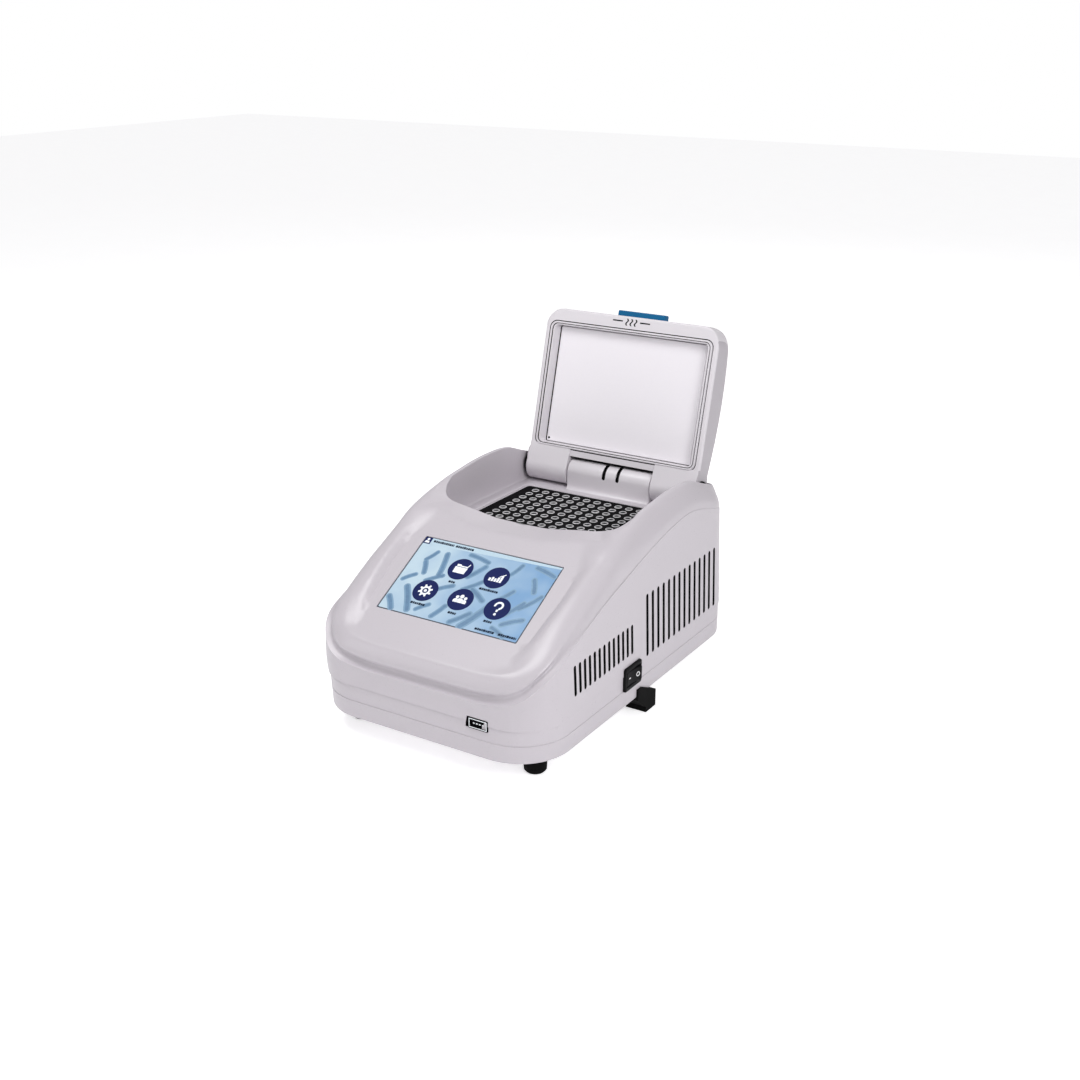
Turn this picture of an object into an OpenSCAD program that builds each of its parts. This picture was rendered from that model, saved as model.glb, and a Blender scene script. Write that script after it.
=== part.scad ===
// Benchtop thermal cycler with a 96-well block, a tilted touch screen and a heated, hinged lid.
// Origin: centre of the footprint on the bench. +X right, +Y to the rear, +Z up. Millimetres.
// The lid is drawn open, which is its rest position.

/* [Body] */
// Overall width of the case
body_w = 184; // [180:1:196]
// Overall depth of the case
body_d = 280; // [278:1:290]
// Height of the case's underside above the bench
foot_h = 17.5; // [12:0.5:20]
// Height of the parting line between lower and upper case
seam_z = 39.5; // [38:0.5:41]
// Height of the side rails, the highest part of the case
roof_z = 135.5; // [134:0.5:138]
// Wall thickness of the moulded shells
wall = 3; // [2.5:0.5:3.5]
// Plan radius of the front corners
front_r = 30; // [24:1:34]
// Plan radius of the rear corners
rear_r = 35; // [28:1:36]

/* [Screen] */
// Slope of the screen above the horizontal
screen_tilt = 28.9; // [27:0.1:31]
// Visible width of the screen
screen_w = 111; // [100:1:114]
// Visible height of the screen
screen_h = 66; // [60:1:68]

/* [Block] */
// Distance between neighbouring wells
well_pitch = 9; // [9:1:9]
// Wells across
well_cols = 12; // [6:1:12]
// Wells front to back
well_rows = 8; // [4:1:8]
// Top radius of a well
well_r = 3.15; // [2.8:0.05:3.4]
// Height of the block's top face
block_z = 113.5; // [113:0.5:114]

/* [Lid] */
// Angle from closed to fully open
lid_open = 104.8; // [95:0.1:105]
// Width of the lid
lid_w = 146; // [142:1:148]
// Distance from the hinge axis to the lid's free end
lid_len = 121; // [120:0.5:122]
// Radius of the lid's knuckle around the hinge axis
knuckle_r = 11.5; // [10:0.5:11.5]
// Travel of the sprung heated plate
plate_travel = 2; // [1:0.5:2]
// Travel of the lid's release button
button_travel = 3; // [1:0.5:3]

/* [Vents] */
// Slots in the front side group
vents_front = 13; // [6:1:13]
// Slots in the rear side group
vents_rear = 14; // [6:1:14]
// Width of one slot
vent_w = 2.6; // [2:0.1:3]

/* [Hidden] */
$fn = 48;
eps = 0.01;
shell_grey = [0.82, 0.80, 0.84];
dark_rubber = [0.07, 0.07, 0.07];
bare_alu = [0.78, 0.79, 0.80];
steel = [0.70, 0.71, 0.72];
board_green = [0.05, 0.35, 0.20];

// Case
half_w = body_w / 2;
half_d = body_d / 2;
inner_w = half_w - wall;
inner_d = half_d - wall;
floor_top = foot_h + wall;
ridge_z = 54;
nose_z = 69.8;
nose_y = -half_d + 3.4;
roof_start_y = -50;
roof_slope = tan(screen_tilt);
roof_start_z = nose_z + (roof_start_y - nose_y) * roof_slope;
roof_bend_y = roof_start_y + (roof_z - roof_start_z) / roof_slope;
roof_flat_y = 25;
tail_y = 95;
tail_z = 112;

// Recess that the lid closes into
recess_half_w = 77;
recess_front = -15.5;
recess_rear = 129;
recess_floor = 111.5;
recess_wall = 2.5;
recess_front_r = 25;
recess_rear_r = 8;

// Block and cooling stack, all centred on the well grid
block_y = 48.5;
block_w = 118;
block_d = 75;
block_h = 16;
frame_w = 132;
frame_d = 94;
frame_hole_w = 121;
frame_hole_d = 78;
peltier_h = 3.6;
sink_top = block_z - block_h - peltier_h;
sink_base_h = 8;
sink_w = 144;
sink_d = 108;
fin_h = 40;
fin_t = 1.6;
fin_pitch = 5;
fin_count = 25;
sink_screw_x = 69;
sink_screw_y = 50;

// Fans
fan_size = 50;
fan_t = 20;
fan_x = 26;
fan_z = 80;
fan_y = half_d - 2.5 - fan_t;
fan_bore_r = 23.5;
rotor_r = 22.6;
hub_r = 10.5;
blade_count = 7;

// Rear panel
panel_half_w = 56;
panel_bottom = 22;
panel_top = 108;
panel_t = 2.5;
panel_screw_x = 53.5;
panel_screw_z = 39;
panel_mid = (panel_bottom + panel_top) / 2;
inlet_x = -30;
inlet_z = 38;

// Screen, in a frame whose +Z leaves the sloping face
screen_y = -80.1;
screen_z = nose_z + (screen_y - nose_y) * roof_slope;
skin_t = wall * cos(screen_tilt);

// Hinge and lid; lid parts are drawn closed around the hinge axis, then swung open
hinge_y = 111.9;
hinge_z = 124;
face_z = -6.6;
rim_w = 138.7;
rim_d = 96.7;
rim_y = -63.4;
rim_r = 6;
plate_w = 124.5;
plate_d = 88.8;
plate_z = face_z + 5.7;
plate_t = 4.5;
guide_bite = 1;
mat_t = 0.8;
insulation_t = 2.6;
chassis_z = 9.6;
pin_r = 3;
run_gap = 0.05;
cover_half_w = 35.5;
cover_r = 8;
notch_half_w = 36.5;
notch_len = 9;
boss_x = 66;
boss_y = 20;
boss_r = 2.6;
guide_x = 50;
guide_y = 32;
guide_r = 2;
button_half_w = 20;
button_back = -lid_len + 5;
rib_y = button_back + button_travel + 4.6;
button_low = 7.5;
button_high = 14.5;
slot_x = [-3.5, 8.3];

// Catch in the front wall of the recess
catch_y = -24.5;
catch_z = 95;
catch_swing = 20;
catch_reach = 18.1;
catch_low = 24;
catch_t = 2.5;
ear_x = 8.6;
ear_t = 2.4;

// Vents on both sides
vent_front_y = -96;
vent_front_pitch = 6.2;
vent_rear_y = 0;
vent_rear_pitch = 7.95;

// Switch on the right side, centred on the parting line's lower side
switch_y = -22;
switch_z = 36.5;
switch_len = 23;
switch_h = 17;
rocker_x = half_w - 0.5;
rocker_r = 9;
rocker_half_h = 5;
rocker_tilt = 7;
housing_half_len = 10.3;
housing_half_h = 7.2;

// USB port in the front
usb_x = 47;
usb_z = 39.4;
usb_w = 15;
usb_h = 7.8;

// Screw posts: place in plan, and length of the rib that ties each to the wall
post_places = [[80, -95, 10], [82, 30, 8], [72, 112, 17]];
front_foot = [70.5, -110];
rear_foot = [60, 100];
side_foot_screw = [83, 5];
side_foot_in = 77;
side_foot_out = 93;
hook_in = inner_w + 0.3;

// ---- shared shapes ----

// Point on a quadratic curve from a to c that bends towards b
function bend(a, b, c, t) = (1 - t) * (1 - t) * a + 2 * t * (1 - t) * b + t * t * c;
function curve(a, b, c, steps) = [for (i = [0 : steps]) bend(a, b, c, i / steps)];

// Rectangle with its own radius at the front (-Y) and rear (+Y) corners
module two_radius_rect(half_x, front, rear, r_front, r_rear) {
    for (side = [-1, 1]) {
        translate([side * (half_x - r_front), front + r_front])
            circle(r_front);
        translate([side * (half_x - r_rear), rear - r_rear])
            circle(r_rear);
    }
    translate([-half_x, front + r_front])
        square([2 * half_x, rear - front - r_front - r_rear]);
    translate([-half_x + r_front, front])
        square([2 * (half_x - r_front), r_front + eps]);
    translate([-half_x + r_rear, rear - r_rear - eps])
        square([2 * (half_x - r_rear), r_rear + eps]);
}

module round_rect(w, d, r) {
    two_radius_rect(w / 2, -d / 2, d / 2, r, r);
}

module plan(inset) {
    two_radius_rect(half_w - inset, -half_d + inset, half_d - inset, front_r - inset, rear_r - inset);
}

// Side view of the upper case: ridge, nose, screen slope, roof and tail
function roof_line(drop) = concat(
    [[-half_d - 1, seam_z - 1], [-half_d - 1, ridge_z - drop], [nose_y - 1, nose_z - drop - roof_slope]],
    curve([roof_start_y, roof_start_z - drop], [roof_bend_y, roof_z - drop], [roof_flat_y, roof_z - drop], 8),
    curve([tail_y, roof_z - drop], [half_d - 4, roof_z - drop], [half_d + 1, tail_z - drop - 3], 6),
    [[half_d + 1, seam_z - 1]]
);

module along_x(half_len) {
    translate([-half_len, 0, 0])
        rotate([90, 0, 90])
            linear_extrude(2 * half_len)
                children();
}

module upper_block(inset) {
    intersection() {
        translate([0, 0, seam_z - (inset > 0 ? 1 : 0)])
            linear_extrude(roof_z)
                plan(inset);
        along_x(half_w + 1)
            polygon(roof_line(inset));
    }
}

module recess_plan(grow) {
    two_radius_rect(recess_half_w + grow, recess_front - grow, recess_rear + grow,
        recess_front_r + grow, recess_rear_r + grow);
}

module mirror_x() {
    children();
    mirror([1, 0, 0])
        children();
}

module at_corners(x, y) {
    for (sx = [-1, 1])
        for (sy = [-1, 1])
            translate([sx * x, sy * y, 0])
                children();
}

module at_screen() {
    translate([0, screen_y, screen_z])
        rotate([screen_tilt, 0, 0])
            children();
}

module lid_frame_open() {
    translate([0, hinge_y, hinge_z])
        rotate([-lid_open, 0, 0])
            children();
}

module bar_x(r, x0, x1) {
    translate([x0, 0, 0])
        rotate([0, 90, 0])
            cylinder(h = x1 - x0, r = r);
}

module side_vents() {
    mirror_x() {
        for (i = [0 : vents_front - 1])
            translate([inner_w - 2, vent_front_y + i * vent_front_pitch - vent_w / 2, 52])
                cube([wall + 4, vent_w, 21]);
        for (i = [0 : vents_rear - 1])
            translate([inner_w - 2, vent_rear_y + i * vent_rear_pitch - vent_w / 2, 42])
                cube([wall + 4, vent_w, 45.5]);
    }
}

module post_positions() {
    mirror_x()
        for (place = post_places)
            translate([place[0], place[1], 0])
                children();
}

// Blocks behind the rear panel that its screws bite into
module panel_block(z) {
    mirror_x()
        translate([panel_screw_x - 1.4, inner_d - 6, z - 3])
            difference() {
                cube([6, 6.4, 6]);
                translate([1.4, -1, 3])
                    rotate([-90, 0, 0])
                        cylinder(h = 9, r = 1.45);
            }
}

module port_cuts() {
    translate([usb_x - usb_w / 2, -half_d - 1, usb_z - usb_h / 2])
        cube([usb_w, wall + 2, usb_h]);
    translate([inner_w - 1, switch_y - housing_half_len - 0.1, switch_z - housing_half_h - 0.1])
        cube([wall + 3, 2 * housing_half_len + 0.2, 2 * housing_half_h + 0.2]);
    translate([-panel_half_w, inner_d - 1, panel_bottom])
        cube([2 * panel_half_w, wall + 2, panel_top - panel_bottom]);
}

// A coil drawn as touching rings, with its axis along +Z
module coil(r, wire, turns) {
    for (i = [0 : turns - 1])
        translate([0, 0, wire + i * 1.9 * wire])
            rotate_extrude()
                translate([r, 0])
                    circle(wire, $fn = 16);
}

// ---- case ----

module lower_case() {
    color(shell_grey)
        difference() {
            union() {
                difference() {
                    translate([0, 0, foot_h])
                        linear_extrude(seam_z - foot_h)
                            plan(0);
                    translate([0, 0, floor_top])
                        linear_extrude(seam_z)
                            plan(wall);
                }
                post_positions()
                    translate([0, 0, foot_h])
                        cylinder(h = seam_z - foot_h, r = 5);
            }
            port_cuts();
            post_positions() {
                cylinder(h = seam_z + 1, r = 1.7);
                translate([0, 0, foot_h - 1])
                    cylinder(h = 4.5, r = 3.4);
            }
            mirror_x()
                for (foot = [front_foot, rear_foot, side_foot_screw])
                    translate([foot[0], foot[1], foot_h - 1])
                        cylinder(h = wall + 2, r = 1.5);
            // seat for the side foot's hook
            mirror_x()
                translate([hook_in - 0.2, 0, 0])
                    rotate([90, 0, 90])
                        linear_extrude(wall + 1)
                            polygon([[3.5, foot_h - 1], [-7.6, 22.4], [-14.3, 22.4], [-14.3, foot_h - 1]]);
            // air intake under the heat sink
            for (i = [-6 : 6])
                translate([i * 8 - 1.5, 20, foot_h - 1])
                    cube([3, 60, wall + 2]);
        }
    color(shell_grey)
        panel_block(panel_mid - panel_screw_z);
}

module upper_case() {
    color(shell_grey)
        difference() {
            union() {
                difference() {
                    upper_block(0);
                    upper_block(wall);
                }
                intersection() {
                    upper_block(0);
                    translate([0, 0, recess_floor - recess_wall])
                        linear_extrude(roof_z)
                            recess_plan(recess_wall);
                }
                // bosses that take the heat sink
                translate([0, block_y, sink_top])
                    at_corners(sink_screw_x, sink_screw_y)
                        cylinder(h = recess_floor - sink_top - 1, r = 4);
                post_positions()
                    translate([0, 0, seam_z])
                        cylinder(h = 28, r = 4.5);
                mirror_x()
                    for (place = post_places)
                        translate([place[0], place[1] - 1, seam_z])
                            cube([place[2], 2, 28]);
                // ears that hold the catch's pin
                mirror_x()
                    translate([ear_x, catch_y - 4, catch_z - 4])
                        cube([ear_t, recess_front - recess_wall - catch_y + 4.5, recess_floor + 4 - catch_z]);
            }
            translate([0, 0, recess_floor])
                linear_extrude(roof_z)
                    recess_plan(0);
            translate([0, block_y, recess_floor - 5])
                linear_extrude(10)
                    round_rect(frame_w - 6, frame_d - 6, 3);
            at_screen()
                translate([0, 0, -8])
                    linear_extrude(12)
                        round_rect(screen_w + 1, screen_h + 1, 1);
            side_vents();
            port_cuts();
            post_positions()
                cylinder(h = seam_z + 22, r = 1.5);
            translate([0, block_y, 0])
                at_corners(sink_screw_x, sink_screw_y)
                    cylinder(h = sink_top + 9, r = 1.5);
            // window for the catch
            translate([-5, recess_front - recess_wall - 1, 118])
                cube([10, recess_wall + 2, 9]);
            translate([0, catch_y, catch_z])
                bar_x(1.5, -ear_x - 3, ear_x + 3);
            // way through the floor for the heater cables
            for (x = slot_x)
                translate([x, hinge_y + 4, recess_floor - 5])
                    cylinder(h = 6, r = 2);
        }
    color(shell_grey)
        panel_block(panel_mid + panel_screw_z);
}

module rear_panel() {
    color([0.25, 0.26, 0.28])
        difference() {
            translate([-panel_half_w, half_d - panel_t, panel_bottom])
                cube([2 * panel_half_w, panel_t, panel_top - panel_bottom]);
            for (side = [-1, 1])
                for (i = [-3 : 3])
                    translate([side * fan_x - 20, half_d - panel_t - 1, fan_z + i * 5.6 - 1.5])
                        cube([40, panel_t + 2, 3]);
            translate([inlet_x - 13.6, half_d - panel_t - 1, inlet_z - 14.1])
                cube([27.2, panel_t + 2, 28.2]);
            translate([0, 0, panel_mid])
                rotate([-90, 0, 0])
                    at_corners(panel_screw_x, panel_screw_z)
                        cylinder(h = half_d + 1, r = 1.6);
        }
}

module panel_screws() {
    color(steel)
        translate([0, half_d, panel_mid])
            rotate([-90, 0, 0])
                at_corners(panel_screw_x, panel_screw_z) {
                    translate([0, 0, -8])
                        cylinder(h = 8, r = 1.45);
                    cylinder(h = 1.6, r = 2.4);
                }
}

module case_screws() {
    color(steel)
        post_positions() {
            translate([0, 0, foot_h + 1])
                cylinder(h = 2.4, r = 3);
            translate([0, 0, foot_h + 3])
                cylinder(h = 38, r = 1.5);
        }
}

// ---- feet ----

module round_foot() {
    difference() {
        rotate_extrude()
            polygon([[0, 0], [6.2, 0], [7.5, 1.5], [8.5, foot_h], [0, foot_h]]);
        translate([0, 0, foot_h - 8])
            cylinder(h = 9, r = 1.5);
    }
}

module front_feet() {
    color(dark_rubber)
        mirror_x()
            translate([front_foot[0], front_foot[1], 0])
                round_foot();
}

module rear_feet() {
    color(dark_rubber)
        mirror_x()
            translate([rear_foot[0], rear_foot[1], 0])
                round_foot();
}

// Side view of a block foot: a pad on the bench and a sloping hook that climbs the case's side
module side_foot_profile() {
    polygon([[-2, 0], [12, 0], [12, 12.5], [-8, 22], [-14, 22], [-14, 14], [-2, 4]]);
}

module side_feet() {
    color(dark_rubber)
        mirror_x()
            difference() {
                translate([side_foot_in, 0, 0])
                    rotate([90, 0, 90])
                        linear_extrude(side_foot_out - side_foot_in)
                            side_foot_profile();
                translate([side_foot_in - 1, -20, foot_h])
                    cube([hook_in - side_foot_in + 1, 40, 20]);
                translate([side_foot_screw[0], side_foot_screw[1], foot_h - 8])
                    cylinder(h = 9, r = 1.5);
            }
}

module foot_screws() {
    color(steel)
        mirror_x()
            for (place = [front_foot, rear_foot, side_foot_screw])
                translate([place[0], place[1], 0]) {
                    translate([0, 0, foot_h - 7])
                        cylinder(h = 7 + wall, r = 1.5);
                    translate([0, 0, floor_top])
                        cylinder(h = 1.8, r = 2.8);
                }
}

// ---- block and cooling ----

module block_frame() {
    color([0.66, 0.65, 0.68])
        translate([0, block_y, recess_floor])
            difference() {
                union() {
                    linear_extrude(block_z - recess_floor)
                        round_rect(frame_w, frame_d, 5);
                    translate([0, 0, -4])
                        linear_extrude(4)
                            round_rect(frame_w - 6.4, frame_d - 6.4, 3);
                }
                translate([0, 0, -5])
                    linear_extrude(10)
                        round_rect(frame_hole_w, frame_hole_d, 3);
            }
}

module block_gasket() {
    color(dark_rubber)
        translate([0, block_y, recess_floor - 4])
            linear_extrude(4.4)
                difference() {
                    round_rect(frame_hole_w - 0.1, frame_hole_d - 0.1, 3);
                    round_rect(block_w + 0.1, block_d + 0.1, 2);
                }
}

module sample_block() {
    color([0.15, 0.15, 0.16])
        difference() {
            translate([0, block_y, block_z - block_h])
                linear_extrude(block_h)
                    round_rect(block_w, block_d, 2);
            for (i = [0 : well_cols - 1])
                for (j = [0 : well_rows - 1])
                    translate([(i - (well_cols - 1) / 2) * well_pitch,
                               block_y + (j - (well_rows - 1) / 2) * well_pitch, block_z - 14])
                        cylinder(h = 14 + eps, r1 = 1.3, r2 = well_r, $fn = 24);
            for (side = [-1, 1])
                translate([side * 54, block_y, block_z - block_h + 4])
                    rotate([0, side * 90, 0])
                        cylinder(h = 8, r = 1.6);
        }
}

module block_sensors() {
    color("gold")
        for (side = [-1, 1])
            translate([side * 54.2, block_y, block_z - block_h + 4])
                rotate([0, side * 90, 0])
                    cylinder(h = 5.6, r = 1.5);
}

module peltier_modules() {
    color("white")
        for (i = [-1 : 1])
            for (side = [-1, 1])
                translate([i * 39 - 18.5, block_y + side * 18.6 - 18, sink_top])
                    cube([37, 36, peltier_h]);
}

module heat_sink() {
    color(bare_alu)
        difference() {
            union() {
                translate([-sink_w / 2, block_y - sink_d / 2, sink_top - sink_base_h])
                    cube([sink_w, sink_d, sink_base_h]);
                for (i = [0 : fin_count - 1])
                    translate([(i - (fin_count - 1) / 2) * fin_pitch - fin_t / 2,
                               block_y - sink_d / 2, sink_top - sink_base_h - fin_h])
                        cube([fin_t, sink_d, fin_h + 1]);
            }
            translate([0, block_y, 0])
                at_corners(sink_screw_x, sink_screw_y)
                    cylinder(h = sink_top + 1, r = 1.7);
        }
}

module sink_screws() {
    color(steel)
        translate([0, block_y, sink_top - sink_base_h])
            at_corners(sink_screw_x, sink_screw_y) {
                translate([0, 0, -2])
                    cylinder(h = 2, r = 2.8);
                cylinder(h = sink_base_h + 8, r = 1.5);
            }
}

module fan_duct() {
    duct_y = block_y + sink_d / 2 + 0.5;
    duct_bottom = sink_top - sink_base_h - fin_h - 2;
    duct_top = sink_top + 12;
    color([0.18, 0.18, 0.19])
        difference() {
            translate([-64, duct_y, duct_bottom])
                cube([128, fan_y - 0.3 - duct_y, duct_top - duct_bottom]);
            translate([-62.5, duct_y - 1, duct_bottom + 1.5])
                cube([125, fan_y + 2 - duct_y, duct_top - duct_bottom - 3]);
        }
}

// Fan parts are drawn with the shaft along +Z, from the intake side at Z = 0
module at_fan(side) {
    translate([side * fan_x, fan_y, fan_z])
        rotate([-90, 0, 0])
            children();
}

module fan_frame() {
    difference() {
        union() {
            difference() {
                translate([-fan_size / 2, -fan_size / 2, 0])
                    cube([fan_size, fan_size, fan_t]);
                translate([0, 0, -1])
                    cylinder(h = fan_t + 2, r = fan_bore_r);
            }
            translate([0, 0, fan_t - 4])
                cylinder(h = 4, r = 10);
            for (a = [45 : 90 : 315])
                rotate([0, 0, a])
                    translate([9, -1.5, fan_t - 3])
                        cube([16, 3, 3]);
        }
        translate([0, 0, fan_t - 5])
            cylinder(h = 4, r = 1.5 + run_gap);
        at_corners(20.5, 20.5)
            translate([0, 0, -1])
                cylinder(h = fan_t + 2, r = 1.6);
    }
}

module fan_frames() {
    color([0.08, 0.08, 0.09])
        for (side = [-1, 1])
            at_fan(side)
                fan_frame();
}

module fan_rotor() {
    translate([0, 0, 2])
        cylinder(h = 13.5, r = hub_r);
    translate([0, 0, 15])
        cylinder(h = 3, r = 1.5);
    for (i = [0 : blade_count - 1])
        rotate([0, 0, i * 360 / blade_count])
            translate([hub_r - 1, 0, 8.5])
                rotate([38, 0, 0])
                    translate([0, -7, -0.6])
                        cube([rotor_r - hub_r - 1, 14, 1.2]);
}

module fan_rotor_left() {
    color([0.12, 0.12, 0.13])
        at_fan(-1)
            fan_rotor();
}

module fan_rotor_right() {
    color([0.12, 0.12, 0.13])
        at_fan(1)
            fan_rotor();
}

// ---- electronics ----

module power_supply() {
    color(bare_alu)
        difference() {
            translate([-72, -112, floor_top + 4])
                cube([70, 92, 36]);
            translate([-70.8, -110.8, floor_top + 5.2])
                cube([67.6, 89.6, 40]);
        }
    color(board_green)
        translate([-70.8, -110.8, floor_top + 5.2])
            cube([67.6, 89.6, 1.6]);
    color([0.1, 0.1, 0.1])
        for (i = [0 : 2])
            translate([-59 + i * 22, -90, floor_top + 6.8])
                cylinder(h = 24, r = 8);
    color("orange")
        translate([-54, -60, floor_top + 6.8])
            cube([34, 30, 22]);
}

module standoffs(x, y, h) {
    at_corners(x, y)
        cylinder(h = h, r = 2.5);
}

module drive_board() {
    translate([32, -66, floor_top]) {
        color(steel)
            standoffs(26, 38, 5);
        color(board_green)
            translate([-30, -42, 5])
                cube([60, 84, 1.6]);
        color([0.1, 0.1, 0.1])
            for (i = [0 : 3])
                translate([-22, -34 + i * 18, 6.6])
                    cube([16, 8, 12]);
        color(bare_alu)
            translate([4, -30, 6.6])
                cube([18, 58, 10]);
    }
}

module control_board() {
    at_screen()
        translate([0, 0, -20]) {
            color(steel)
                at_corners(46, 26)
                    translate([0, 0, 1])
                        cylinder(h = 9.6, r = 2.5);
            color(board_green)
                translate([-50, -30, -0.6])
                    cube([100, 60, 1.6]);
            color([0.1, 0.1, 0.1])
                translate([-12, -12, 1])
                    cube([24, 24, 2]);
        }
}

module display_module() {
    color([0.2, 0.2, 0.22])
        at_screen()
            translate([0, 0, -8])
                linear_extrude(8 - skin_t - 0.05)
                    round_rect(124, 68.4, 2);
}

module display_bracket() {
    color(steel)
        at_screen()
            translate([0, 0, -9.4])
                difference() {
                    linear_extrude(3.4)
                        round_rect(128, 82, 3);
                    translate([0, 0, 1.4])
                        linear_extrude(3)
                            round_rect(124.2, 68.6, 2);
                    translate([0, 0, -1])
                        linear_extrude(3)
                            round_rect(70, 36, 3);
                }
}

module touch_glass() {
    color([0.45, 0.65, 0.85])
        at_screen()
            translate([0, 0, -skin_t + 0.05])
                linear_extrude(skin_t - 0.45)
                    round_rect(screen_w + 0.6, screen_h + 0.6, 0.8);
}

module usb_port() {
    translate([usb_x, -half_d, usb_z]) {
        color([0.08, 0.08, 0.09])
            difference() {
                translate([-usb_w / 2 + 0.1, -0.4, -usb_h / 2 + 0.1])
                    cube([usb_w - 0.2, 16, usb_h - 0.2]);
                translate([-6.55, -1, -2.85])
                    cube([13.1, 13, 5.7]);
            }
        color("white")
            translate([-5.5, 1, 0])
                cube([11, 12, 1.9]);
    }
}

module at_rocker() {
    translate([rocker_x, switch_y, switch_z])
        children();
}

module switch_housing() {
    color([0.05, 0.05, 0.06])
        difference() {
            union() {
                translate([half_w, switch_y - switch_len / 2, switch_z - switch_h / 2])
                    cube([1.6, switch_len, switch_h]);
                translate([half_w - 16, switch_y - housing_half_len, switch_z - housing_half_h])
                    cube([16.5, 2 * housing_half_len, 2 * housing_half_h]);
            }
            at_rocker() {
                translate([-10, -rocker_r - 0.1, -rocker_half_h - 0.1])
                    cube([20, 2 * rocker_r + 0.2, 2 * rocker_half_h + 0.2]);
                translate([0, 0, -rocker_half_h - 1.1])
                    cylinder(h = 2 * rocker_half_h + 2.2, r = 1.2 + run_gap);
            }
        }
}

// Rocker at rest: its rear half, marked O, stands proud
module switch_rocker() {
    color([0.05, 0.05, 0.06])
        at_rocker()
            rotate([0, 0, -rocker_tilt]) {
                intersection() {
                    translate([0, 0, -rocker_half_h])
                        cylinder(h = 2 * rocker_half_h, r = rocker_r);
                    translate([0, 0, -rocker_half_h])
                        linear_extrude(2 * rocker_half_h)
                            polygon([[-5, -10], [3.4, -10], [2.4, 0], [3.4, 10], [-5, 10]]);
                }
                translate([0, 0, -rocker_half_h - 1])
                    cylinder(h = 2 * rocker_half_h + 2, r = 1.2);
            }
}

module power_inlet() {
    color([0.06, 0.06, 0.07])
        difference() {
            union() {
                translate([inlet_x - 15.5, half_d, inlet_z - 16])
                    cube([31, 2, 32]);
                translate([inlet_x - 13.5, half_d - 22, inlet_z - 14])
                    cube([27, 22.5, 28]);
            }
            translate([inlet_x - 12, half_d - 16, inlet_z - 4])
                cube([24, 20, 16.5]);
            translate([inlet_x - 10, half_d - 18, inlet_z - 12.5])
                cube([20, 22, 7]);
        }
    color(steel)
        for (i = [-1 : 1])
            translate([inlet_x + i * 7 - 1, half_d - 17, inlet_z + 2 + (i == 0 ? 3 : 0)])
                cube([2, 13, 4]);
}

module fuse_drawer() {
    color([0.12, 0.12, 0.13])
        difference() {
            union() {
                translate([inlet_x - 9.8, half_d - 17, inlet_z - 12.3])
                    cube([19.6, 19, 6.6]);
                translate([inlet_x - 9.8, half_d + 2, inlet_z - 12.3])
                    cube([19.6, 1.4, 6.6]);
            }
            translate([inlet_x - 7, half_d - 15, inlet_z - 10.8])
                cube([14, 12, 6]);
        }
}

// ---- hinge on the body side ----

module at_hinge() {
    translate([0, hinge_y, hinge_z])
        children();
}

module hinge_cover() {
    skirt = hinge_z - recess_floor;
    color(shell_grey)
        at_hinge()
            difference() {
                union() {
                    bar_x(cover_r, -cover_half_w, cover_half_w);
                    translate([-cover_half_w, -cover_r, -skirt])
                        cube([2 * cover_half_w, 2 * cover_r, skirt]);
                }
                bar_x(cover_r - 1.3, -cover_half_w + 1.2, cover_half_w - 1.2);
                translate([-cover_half_w + 1.2, -cover_r + 1.3, -skirt - 1])
                    cube([2 * cover_half_w - 2.4, 2 * cover_r - 2.6, skirt + 1]);
                bar_x(pin_r + 0.2, -cover_half_w - 1, cover_half_w + 1);
                for (x = slot_x)
                    translate([x - 1.1, -cover_r - 1, 0])
                        cube([2.2, cover_r + 1, cover_r + 1]);
            }
}

module hinge_block() {
    skirt = hinge_z - recess_floor;
    color(steel)
        at_hinge()
            difference() {
                for (x = [-29, -12, 14])
                    translate([x, 0, 0]) {
                        bar_x(5.6, 0, 15);
                        translate([0, -5.6, -skirt])
                            cube([15, 11.2, skirt]);
                    }
                bar_x(pin_r, -40, 40);
            }
}

module hinge_pin() {
    color(bare_alu)
        at_hinge()
            bar_x(pin_r, -52, 52);
}

module lid_springs() {
    color(steel)
        at_hinge()
            mirror_x()
                translate([29.6, 0, 0])
                    rotate([0, 90, 0])
                        coil(4.4, 0.6, 4);
}

// Two cables that show in the cover's slots, on their way over the pin to the lid
module heater_cables() {
    color(dark_rubber)
        at_hinge()
            for (x = slot_x)
                translate([x, 0, 0])
                    rotate([0, 90, 0])
                        rotate([0, 0, 185])
                            rotate_extrude(angle = 80)
                                translate([6.9, 0])
                                    circle(0.75, $fn = 16);
}

// ---- catch in the recess wall ----

module at_catch() {
    translate([0, catch_y, catch_z])
        rotate([catch_swing, 0, 0])
            children();
}

module latch_catch() {
    color(steel)
        at_catch()
            difference() {
                union() {
                    bar_x(4, -4, 4);
                    translate([-4, -2, 0])
                        cube([8, 4, catch_low + catch_t]);
                    translate([-4, -2, catch_low])
                        cube([8, catch_reach + 2, catch_t]);
                }
                bar_x(1.5 + run_gap, -5, 5);
            }
}

module catch_pin() {
    color(bare_alu)
        translate([0, catch_y, catch_z])
            bar_x(1.5, -ear_x - ear_t, ear_x + ear_t);
}

module catch_spring() {
    color(steel)
        translate([5, catch_y, catch_z])
            rotate([0, 90, 0])
                coil(2.6, 0.5, 3);
}

// ---- lid, drawn closed around the hinge axis ----

// Side view of the lid's top: knuckle, crowned back and rounded free end
function lid_top(drop) = concat(
    curve([0, knuckle_r - drop], [-50, 26 - drop], [-110, 18.5 - drop], 8),
    curve([-110 - drop / 8, 18.5 - drop], [-lid_len + 0.5 + drop, 17.5 - drop],
          [-lid_len + drop, 7.5 - drop], 5)
);

module lid_outline(drop, low) {
    polygon(concat([[0, low]], lid_top(drop), [[-lid_len + drop, low]]));
}

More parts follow.
